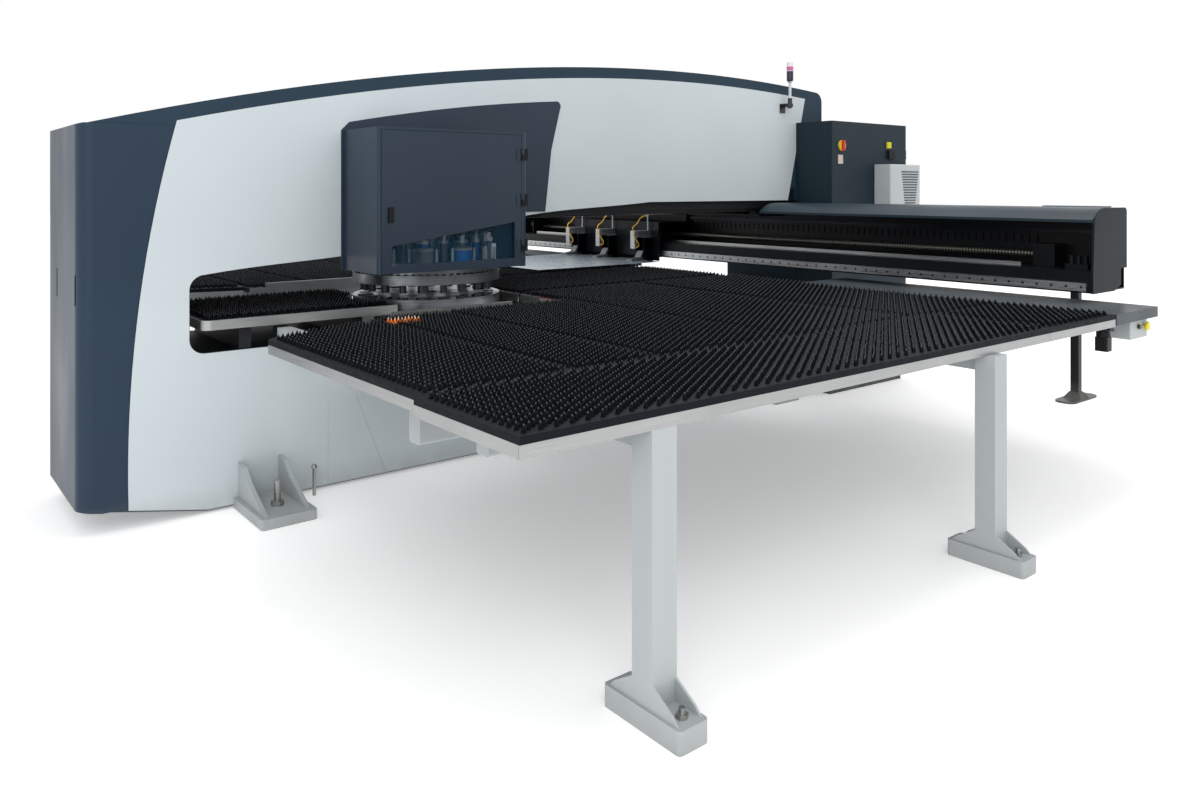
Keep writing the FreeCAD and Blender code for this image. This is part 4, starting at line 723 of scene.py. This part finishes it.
def tuft_finish(name):
    material, tree, shader, where = start_finish(name)
    parts = split(tree, where)
    # Height up the tuft picks the colour: painted shade at the root, painted highlight at the tip.
    place = put(tree, "ShaderNodeMapRange")
    feed(tree, parts[2], place.inputs["Value"])
    feed(tree, root_height, place.inputs["From Min"])
    feed(tree, tip_height, place.inputs["From Max"])
    plain = ramp(tree, place.outputs["Result"], BLACK_TUFT_WITH_PAINTED_LIGHT)
    marker = ramp(tree, place.outputs["Result"], ORANGE_TUFT_WITH_PAINTED_LIGHT)
    body = mixed(tree, within(tree, parts, marker_low[:2], marker_high[:2]), plain, marker)
    patchy = maths(tree, "MULTIPLY", noise(tree, where, 5.0, 3.0), 0.35)
    feed(tree, mixed(tree, patchy, body, (0.002, 0.003, 0.004, 1.0)), shader.inputs["Base Color"])
    shader.inputs["Specular IOR Level"].default_value = 0.08
    fibres = noise(tree, where, 30.0, 2.0, (60.0, 60.0, 2.0))
    feed(tree, spread(tree, fibres, 0.5, 0.72), shader.inputs["Roughness"])
    raise_grain(tree, shader, fibres, 0.4, 0.0008)
    return material


bristle = tuft_finish("bristle_tufts")


# %% Points in staggered rows above a shape
DROP = 0.05


def bounds_of(tree, shape):
    bound = put(tree, "GeometryNodeBoundBox")
    feed(tree, shape, bound.inputs["Geometry"])
    return split(tree, bound.outputs["Min"]), split(tree, bound.outputs["Max"])


def nudged(tree, points, offset):
    made = put(tree, "GeometryNodeSetPosition")
    feed(tree, points, made.inputs["Geometry"])
    feed(tree, offset, made.inputs["Offset"])
    return made.outputs["Geometry"]


def staggered_points(tree, given):
    """A grid a little above the shape, with every second row moved by half a pitch."""
    low, high = bounds_of(tree, given["Geometry"])
    grid = put(tree, "GeometryNodeMeshGrid")
    centre = []
    for axis, label in ((0, "X"), (1, "Y")):
        pitch = given["Pitch " + label]
        reach = maths(tree, "SUBTRACT", high[axis], low[axis])
        count = maths(tree, "CEIL", maths(tree, "DIVIDE", reach, pitch))
        feed(tree, maths(tree, "MULTIPLY", count, pitch), grid.inputs["Size " + label])
        feed(tree, maths(tree, "ADD", count, 1.0), grid.inputs["Vertices " + label])
        centre.append(maths(tree, "MULTIPLY", maths(tree, "ADD", low[axis], high[axis]), 0.5))
    centre.append(maths(tree, "ADD", high[2], DROP))
    points = moved(tree, grid.outputs["Mesh"], combined(tree, *centre))
    here = put(tree, "GeometryNodeInputPosition").outputs[0]
    climb = maths(tree, "SUBTRACT", split(tree, here)[1], low[1])
    row = maths(tree, "DIVIDE", climb, given["Pitch Y"])
    odd = maths(tree, "MODULO", maths(tree, "ROUND", maths(tree, "ADD", row, 100.0)), 2.0)
    aside = maths(tree, "MULTIPLY", maths(tree, "SUBTRACT", odd, 0.5),
                  maths(tree, "MULTIPLY", given["Pitch X"], 0.5))
    return nudged(tree, points, combined(tree, x=aside))


# %% The rule for a field of tufts
def tuft_rule():
    tree, given, output = new_rule("tuft_field", **{
        "Pitch X": 0.036, "Pitch Y": 0.027, "Height": 0.023, "Root Radius": 0.0092,
        "Tip Radius": 0.0014, "Lean": 0.1, "Seed": 4})
    kept = land_on(tree, staggered_points(tree, given), given["Geometry"], given["Height"])
    spike = put(tree, "GeometryNodeMeshCone")
    feed(tree, 5, spike.inputs["Vertices"])
    feed(tree, given["Tip Radius"], spike.inputs["Radius Top"])
    feed(tree, given["Root Radius"], spike.inputs["Radius Bottom"])
    feed(tree, given["Height"], spike.inputs["Depth"])
    tufts = set_down(tree, kept, spike.outputs["Mesh"], random_turn(tree, given))
    end_rule(tree, given, tufts, output)
    return tree


def land_on(tree, points, target, sink):
    """Drop points straight down onto a shape, lose those that miss, and sink the rest."""
    ray = put(tree, "GeometryNodeRaycast")
    feed(tree, target, ray.inputs["Target Geometry"])
    feed(tree, (0.0, 0.0, -1.0), ray.inputs["Ray Direction"])
    feed(tree, DROP + 0.01, ray.inputs["Ray Length"])
    missed = put(tree, "FunctionNodeBooleanMath", operation="NOT")
    feed(tree, ray.outputs["Is Hit"], missed.inputs[0])
    loss = put(tree, "GeometryNodeDeleteGeometry")
    feed(tree, points, loss.inputs["Geometry"])
    feed(tree, missed.outputs[0], loss.inputs["Selection"])
    down = maths(tree, "SUBTRACT", maths(tree, "MULTIPLY", sink, -1.0), DROP)
    return nudged(tree, loss.outputs["Geometry"], combined(tree, z=down))


def random_turn(tree, given):
    """Any heading, and a lean of up to the given angle."""
    back = maths(tree, "MULTIPLY", given["Lean"], -1.0)
    chance = put(tree, "FunctionNodeRandomValue", data_type="FLOAT_VECTOR")
    feed(tree, combined(tree, back, back, 0.0), chance.inputs[0])
    feed(tree, combined(tree, given["Lean"], given["Lean"], FULL_TURN), chance.inputs[1])
    feed(tree, given["Seed"], chance.inputs["Seed"])
    turn = put(tree, "FunctionNodeEulerToRotation")
    feed(tree, chance.outputs[0], turn.inputs[0])
    return turn.outputs[0]


# %% Plant the tufts
FULL_TURN = 6.28
FRAME_BODY = "frame"
tuft_field = tuft_rule()


def plant(name, node, seed):
    ground = frame["nodes"][node].data.copy()
    tufts = grow(name, tuft_field, ground, bristle, Height=tip_height - root_height, Seed=seed)
    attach(tufts, FRAME_BODY)
    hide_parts(node)
    return tufts


plant("tufts_front", "brush_fields_front", 4)
plant("tufts_rear", "brush_fields_rear", 9)
plant("tufts_throat", "throat_brushes", 14)

# %% [markdown]
# ## Rows and rings of bolts
# The rail is held by socket screws in a long row, the turret rim by a ring of them. Both
# are one rule: a shape set down on points, with the shape already turned the right way.
# The row is a loop of points, the ring is a loop round a circle.


# %% The rule for a bolt head on every point
def bolt_rule():
    tree, given, output = new_rule("bolt_heads", **{
        "Radius": 0.006, "Height": 0.002, "Sides": 12, "Tilt X": 0.0, "Tilt Y": 0.0})
    head = put(tree, "GeometryNodeMeshCylinder")
    feed(tree, given["Sides"], head.inputs["Vertices"])
    feed(tree, given["Radius"], head.inputs["Radius"])
    feed(tree, given["Height"], head.inputs["Depth"])
    collar = put(tree, "GeometryNodeMeshCone")
    feed(tree, given["Sides"], collar.inputs["Vertices"])
    feed(tree, given["Radius"], collar.inputs["Radius Bottom"])
    feed(tree, maths(tree, "MULTIPLY", given["Radius"], 0.72), collar.inputs["Radius Top"])
    feed(tree, maths(tree, "MULTIPLY", given["Height"], 0.35), collar.inputs["Depth"])
    top = combined(tree, z=maths(tree, "MULTIPLY", given["Height"], 0.5))
    raised = moved(tree, collar.outputs["Mesh"], top)
    shape = joined_shapes(tree, head.outputs["Mesh"], raised)
    shape = moved(tree, shape, (0, 0, 0), combined(tree, given["Tilt X"], given["Tilt Y"]))
    end_rule(tree, given, set_down(tree, given["Geometry"], shape), output)
    return tree


bolt_heads = bolt_rule()
dark_bolt = moulded("blackened_bolts", (0.012, 0.013, 0.014), 0.4, 400.0)
peg_white = moulded("peg_plastic", (0.78, 0.8, 0.82), 0.35)


def steps(start, stop, pitch):
    count = int((stop - start) / pitch)
    margin = (stop - start - count * pitch) / 2
    return [start + margin + k * pitch for k in range(count + 1)]


# %% Screws of the beam's front rail
RAIL_SCREW_PITCH = 0.083
rail_low, rail_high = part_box("x_rails")
row = [(x, rail_low.y - 0.0001, rail_low.z + 0.023)
       for x in steps(rail_low.x, rail_high.x, RAIL_SCREW_PITCH)]
rail_screws = grow("rail_screws", bolt_heads, dots("rail_row", row), dark_bolt,
                   **{"Radius": 0.008, "Height": 0.0003, "Tilt X": math.pi / 2})
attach(rail_screws, "beam")


# %% Pegs round the turret and screws in its rim
RIM_THICK = 0.054
HUB_ABOVE_DRUM = 0.145
PEG_HEIGHT = 0.056
PEG_SHIFT = 0.12


def on_circle(centre, radius, height, angles):
    return [(centre.x + radius * math.cos(a), centre.y + radius * math.sin(a), height)
            for a in angles]


def ring(centre, radius, height, count, first=0.5):
    angles = [2 * math.pi * (k + first) / count for k in range(count)]
    return on_circle(centre, radius, height, angles)


turret_low, turret_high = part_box("upper_turret")
rim_radius = span("upper_turret").x / 2
rim_top = turret_low.z + RIM_THICK
drum_top = turret_high.z - HUB_ABOVE_DRUM
between = first_station * STATIONS / (2 * math.pi) + 0.5
peg_middle = drum_top + PEG_HEIGHT / 2
peg_ring_radius = rim_radius - 0.045
peg_places = [place for shift in (-PEG_SHIFT, PEG_SHIFT)
              for place in ring(turret_centre, peg_ring_radius, peg_middle, STATIONS, between + shift)]
pegs = grow("turret_pegs", bolt_heads, dots("peg_ring", peg_places), peg_white,
            **{"Radius": 0.0075, "Height": PEG_HEIGHT})
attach(pegs, "upper_turret")
rim_screws = grow("rim_screws", bolt_heads,
                  dots("rim_ring", ring(turret_centre, rim_radius - 0.011, rim_top + 0.003, 60)),
                  dark_bolt, **{"Radius": 0.007, "Height": 0.006})
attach(rim_screws, "upper_turret")

# %% [markdown]
# ## Spring housings of the large tools
# A large punch needs a strong stripping spring, kept in a wide can round the tool above the
# drum. Some cans are blue and some are plain steel, and both have a pale lid. Only a few
# stations hold a large tool, and never two side by side, because the cans would touch.


# %% The rule for a can on every point
CAN_SIDES = 28


def can_rule():
    tree, given, output = new_rule("spring_cans", **{"Radius": 0.06, "Height": 0.075, "Lid": 0.8})
    can = put(tree, "GeometryNodeMeshCylinder")
    feed(tree, CAN_SIDES, can.inputs["Vertices"])
    feed(tree, given["Radius"], can.inputs["Radius"])
    feed(tree, given["Height"], can.inputs["Depth"])
    lid = put(tree, "GeometryNodeMeshCone")
    feed(tree, CAN_SIDES, lid.inputs["Vertices"])
    feed(tree, maths(tree, "MULTIPLY", given["Radius"], 0.96), lid.inputs["Radius Bottom"])
    feed(tree, maths(tree, "MULTIPLY", given["Radius"], given["Lid"]), lid.inputs["Radius Top"])
    feed(tree, maths(tree, "MULTIPLY", given["Height"], 0.1), lid.inputs["Depth"])
    top = combined(tree, z=maths(tree, "MULTIPLY", given["Height"], 0.5))
    raised = moved(tree, lid.outputs["Mesh"], top)
    shape = joined_shapes(tree, can.outputs["Mesh"], raised)
    end_rule(tree, given, set_down(tree, given["Geometry"], shape), output)
    return tree


# %% Set the cans down
CAN_HEIGHT = 0.075
LID_DROP = 0.012
BLUE_STATIONS = (4, 14)
STEEL_STATIONS = (2, 7, 12, 17)
spring_cans = can_rule()
lid_from = drum_top + CAN_HEIGHT - LID_DROP


def station_spots(stations):
    reach = math.hypot(turret_centre.x, punch_y - turret_centre.y)
    turns = [first_station + 2 * math.pi * k / STATIONS for k in stations]
    return [turret_centre + Vector((reach * math.cos(a), reach * math.sin(a), 0)) for a in turns]


for name, stations, colour in (("blue_cans", BLUE_STATIONS, (0.01, 0.22, 0.85)),
                               ("steel_cans", STEEL_STATIONS, (0.26, 0.29, 0.33))):
    spots = [(p.x, p.y, drum_top + CAN_HEIGHT / 2) for p in station_spots(stations)]
    finish = banded(name + "_finish", 2, [(drum_top, colour), (lid_from, (0.6, 0.64, 0.68))], 0.32)
    cans = grow(name, spring_cans, dots(name + "_spots", spots), finish, Height=CAN_HEIGHT)
    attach(cans, "upper_turret")

# %% [markdown]
# ## Air hoses of the clamps
# Each clamp has a yellow air hose that leaves the top of its mast, drops over the cylinder
# and goes into the side of the column. It is a smooth curve through a few given points,
# because a hose that follows straight runs looks like bent wire.

# %% Lay the hoses
HOSE_RADIUS = 4 * MM
HOSE_POINTS = [(20, 2228.8, 1362), (20, 2165, 1362), (16, 2120, 1290), (24, 2058, 1270),
               (54, 2052, 1190), (94, 2098, 1108), (26.6, 2098, 1096)]
CLAMPS_X = (-1662, -1222, -751)
hose_finish = finish_of_slot["hose_yellow"]


def lay_hose(name, clamp_x):
    data = bpy.data.curves.new(name, "CURVE")
    data.dimensions = "3D"
    data.resolution_u = 10
    data.bevel_depth = HOSE_RADIUS
    data.bevel_resolution = 3
    data.use_fill_caps = True
    spline = data.splines.new("NURBS")
    spline.points.add(len(HOSE_POINTS) - 1)
    for point, (x, y, z) in zip(spline.points, HOSE_POINTS):
        point.co = ((clamp_x + x) * MM, y * MM + punch_y, z * MM, 1.0)
    spline.order_u = 3
    spline.use_endpoint_u = True
    data.materials.append(hose_finish)
    hose = bpy.data.objects.new(name, data)
    bpy.context.scene.collection.objects.link(hose)
    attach(hose, "clamp_carriage")
    return hose, Vector(spline.points[0].co[:3])


def smooth_length(curve_object):
    """Length of the curve itself, read from the same curve without its thickness."""
    thin = curve_object.data.copy()
    thin.bevel_depth = 0.0
    holder = bpy.data.objects.new("measure", thin)
    line = bpy.data.meshes.new_from_object(holder)
    spots = [v.co for v in line.vertices]
    bpy.data.objects.remove(holder)
    return sum((b - a).length for a, b in zip(spots, spots[1:]))


for number, clamp_x in enumerate(CLAMPS_X, 1):
    hose, start = lay_hose("air_hose_%d" % number, clamp_x)
    length = smooth_length(hose)
    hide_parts("clamp_hoses")
    print(hose.name, "length", round(length, 3))

# %% [markdown]
# ## Knobs on the clamp masts
# A white ball caps each mast. It is a ball of small triangles, shaded smooth, which is
# round enough at this size.


# %% The rule for a ball on every point
def ball_rule():
    tree, given, output = new_rule("balls", **{"Radius": 0.016})
    ball = put(tree, "GeometryNodeMeshIcoSphere")
    feed(tree, given["Radius"], ball.inputs["Radius"])
    feed(tree, 3, ball.inputs["Subdivisions"])
    smooth = put(tree, "GeometryNodeSetShadeSmooth")
    feed(tree, ball.outputs["Mesh"], smooth.inputs["Geometry"])
    end_rule(tree, given, set_down(tree, given["Geometry"], smooth.outputs["Geometry"]), output)
    return tree


MAST_X, MAST_Y = 20, 2242
knob_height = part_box("clamp_bodies")[1].z + 0.004
mast_tops = [((x + MAST_X) * MM, MAST_Y * MM + punch_y, knob_height) for x in CLAMPS_X]
knobs = grow("clamp_knobs", ball_rule(), dots("mast_tops", mast_tops), peg_white, Radius=0.019)
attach(knobs, "clamp_carriage")

# %% [markdown]
# ## Slats, links, wiper and keys
# The cabinet's cooling unit breathes through slats, the beam feeds its cables through a
# chain of links, a wiper brush closes the gap under the clamp carriage and the console has
# a field of keys. All four are a stepped block, set down on a row or grid of points, so
# they share one rule and differ in its sizes. The step comes from two boxes in one: a full
# one that is a little thin, and a smaller one that stands proud of it. Taper narrows the
# lower blocks of a column.


# %% The rule for a stepped block on every point
STEP_BACK = 0.86


def block_rule():
    tree, given, output = new_rule("blocks", **{
        "Size X": 0.01, "Size Y": 0.01, "Size Z": 0.01, "Shrink": 0.8,
        "Turn X": 0.0, "Turn Y": 0.0, "Taper": 0.0})
    shapes = []
    for thick, wide in ((STEP_BACK, 1.0), (1.0, given["Shrink"])):
        factors = (("X", thick), ("Y", wide), ("Z", wide))
        sides = [maths(tree, "MULTIPLY", given["Size " + label], factor) for label, factor in factors]
        cube = put(tree, "GeometryNodeMeshCube")
        feed(tree, combined(tree, *sides), cube.inputs["Size"])
        shapes.append(cube.outputs["Mesh"])
    turn = combined(tree, given["Turn X"], given["Turn Y"])
    shape = moved(tree, joined_shapes(tree, *shapes), (0, 0, 0), turn)
    highest = bounds_of(tree, given["Geometry"])[1][2]
    here = put(tree, "GeometryNodeInputPosition").outputs[0]
    below = maths(tree, "SUBTRACT", highest, split(tree, here)[2])
    narrowed = maths(tree, "SUBTRACT", 1.0, maths(tree, "MULTIPLY", below, given["Taper"]))
    size = combined(tree, 1.0, narrowed, 1.0)
    end_rule(tree, given, set_down(tree, given["Geometry"], shape, None, size), output)
    return tree


blocks = block_rule()

# %% Slats of the cooling unit
SLAT_PITCH = 0.021
cooler_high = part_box("cabinet_cooler")[1]
slat_y = cooler_high.y - 0.15
slat_rows = [(cooler_high.x - 0.001, slat_y, z)
             for z in steps(cooler_high.z - 0.34, cooler_high.z - 0.05, SLAT_PITCH)]
slats = grow("cooler_slats", blocks, dots("slat_row", slat_rows), finish_of_slot["plate_grey"],
             **{"Size X": 0.01, "Size Y": 0.24, "Size Z": 0.009, "Shrink": 0.9,
                "Turn Y": 0.5, "Taper": 1.5})
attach(slats, "cabinet_door")

# %% Links of the cable chain on the beam
LINK_PITCH = 0.05
CHAIN_START, CHAIN_END = -2.6, 2.4
CHAIN_HEIGHT = 1.288
SPINE_BEHIND_FRONT = 308 * MM
link_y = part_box("carriage_beam")[0].y + SPINE_BEHIND_FRONT
link_row = [(x, link_y, CHAIN_HEIGHT) for x in steps(CHAIN_START, CHAIN_END, LINK_PITCH)]
links = grow("cable_links", blocks, dots("link_row", link_row), finish_of_slot["black_metal"],
             **{"Size X": 0.044, "Size Y": 0.012, "Size Z": 0.044, "Shrink": 0.7})
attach(links, "beam")

# %% Wiper brush under the clamp carriage
plate_low, plate_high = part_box("clamp_carriage")
WIPER_TOP = 1.0155
WIPER_DROP = 0.036
WIPER_PITCH = 0.0125
wiper_row = [(x, plate_low.y + 0.016, WIPER_TOP - WIPER_DROP / 2)
             for x in steps(plate_low.x + 0.01, plate_high.x - 0.01, WIPER_PITCH)]
wiper = grow("carriage_wiper", blocks, dots("wiper_row", wiper_row),
             finish_of_slot["bristle_black"],
             **{"Size X": WIPER_PITCH, "Size Y": 0.012, "Size Z": WIPER_DROP, "Shrink": 0.8})
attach(wiper, "clamp_carriage")

# %% Keys of the console
KEY_PITCH = 0.024
KEY_WIDTH = 0.018
console_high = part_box("operator_console")[1]
key_places = [(x, console_high.y + 0.001, z)
              for x in steps(console_high.x - 0.14, console_high.x - 0.02, KEY_PITCH)
              for z in steps(console_high.z - 0.2, console_high.z - 0.04, KEY_PITCH)]
keys = grow("console_keys", blocks, dots("key_grid", key_places), peg_white,
            **{"Size X": KEY_WIDTH, "Size Y": 0.006, "Size Z": KEY_WIDTH, "Shrink": 0.85})
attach(keys, "operator_console")

# %% [markdown]
# ## Guard round the turret
# A curved sheet-steel guard hangs from the roof of the throat, close round the side of the
# turret that the clamps come near, so that a slug thrown out of a tool can't fly into the
# throat. It closes the view through the door's pane too. It is one bent plate, worked out
# from its radius and the two angles it runs between.

# %% Hang the guard
GUARD_RADIUS = 0.446
GUARD_THICK = 0.003
GUARD_FROM, GUARD_TO = math.radians(55), math.radians(150)
GUARD_BENDS = 40
guard_bottom = drum_top + 0.02
guard_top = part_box("turret_bearings")[1].z


def bent_plate(centre, radius, thick, angles, bottom, top):
    """Corners and faces of a closed plate bent round an upright axis."""
    outer = radius + thick
    corners = []
    for reach, height in ((radius, bottom), (outer, bottom), (outer, top), (radius, top)):
        corners += on_circle(centre, reach, height, angles)
    count = len(angles)
    first_end = tuple(side * count for side in range(4))
    last_end = tuple((4 - side) * count - 1 for side in range(4))
    faces = [first_end, last_end]
    for side in range(4):
        here, there = side * count, (side + 1) % 4 * count
        faces += [(here + k, here + k + 1, there + k + 1, there + k) for k in range(count - 1)]
    return corners, faces


bends = [GUARD_FROM + (GUARD_TO - GUARD_FROM) * k / GUARD_BENDS for k in range(GUARD_BENDS + 1)]
corners, faces = bent_plate(turret_centre, GUARD_RADIUS, GUARD_THICK, bends,
                            guard_bottom, guard_top)
guard_mesh = bpy.data.meshes.new("turret_guard")
guard_mesh.from_pydata(corners, [], faces)
guard_mesh.materials.append(finish_of_slot["black_metal"])
guard = bpy.data.objects.new("turret_guard", guard_mesh)
bpy.context.scene.collection.objects.link(guard)
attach(guard, FRAME_BODY)
print("guard faces", len(faces))

# %% [markdown]
# ## Floor
# A plain pale floor catches the shadow. It belongs to the studio and not to the machine.

# %% Studio floor
FLOOR_REACH = 60.0
FLOOR_GLOW = 0.3
floor_finish, floor_tree, floor_shader, floor_where = start_finish("studio_floor")
floor_tone = noise(floor_tree, floor_where, 0.6, 2.0)
floor_colour = ramp(floor_tree, floor_tone, [(0.3, (0.9, 0.9, 0.905)), (0.7, (0.93, 0.93, 0.93))])
feed(floor_tree, floor_colour, floor_shader.inputs["Base Color"])
floor_shader.inputs["Roughness"].default_value = 0.7
floor_shader.inputs["Emission Color"].default_value = (1.0, 1.0, 1.0, 1.0)
floor_shader.inputs["Emission Strength"].default_value = FLOOR_GLOW
floor_mesh = bpy.data.meshes.new("studio_floor")
floor_mesh.from_pydata([(x * FLOOR_REACH, y * FLOOR_REACH, 0)
                        for x, y in ((-1, -1), (1, -1), (1, 1), (-1, 1))], [], [(0, 1, 2, 3)])
floor_mesh.materials.append(floor_finish)
floor = bpy.data.objects.new("studio_floor", floor_mesh)
bpy.context.scene.collection.objects.link(floor)
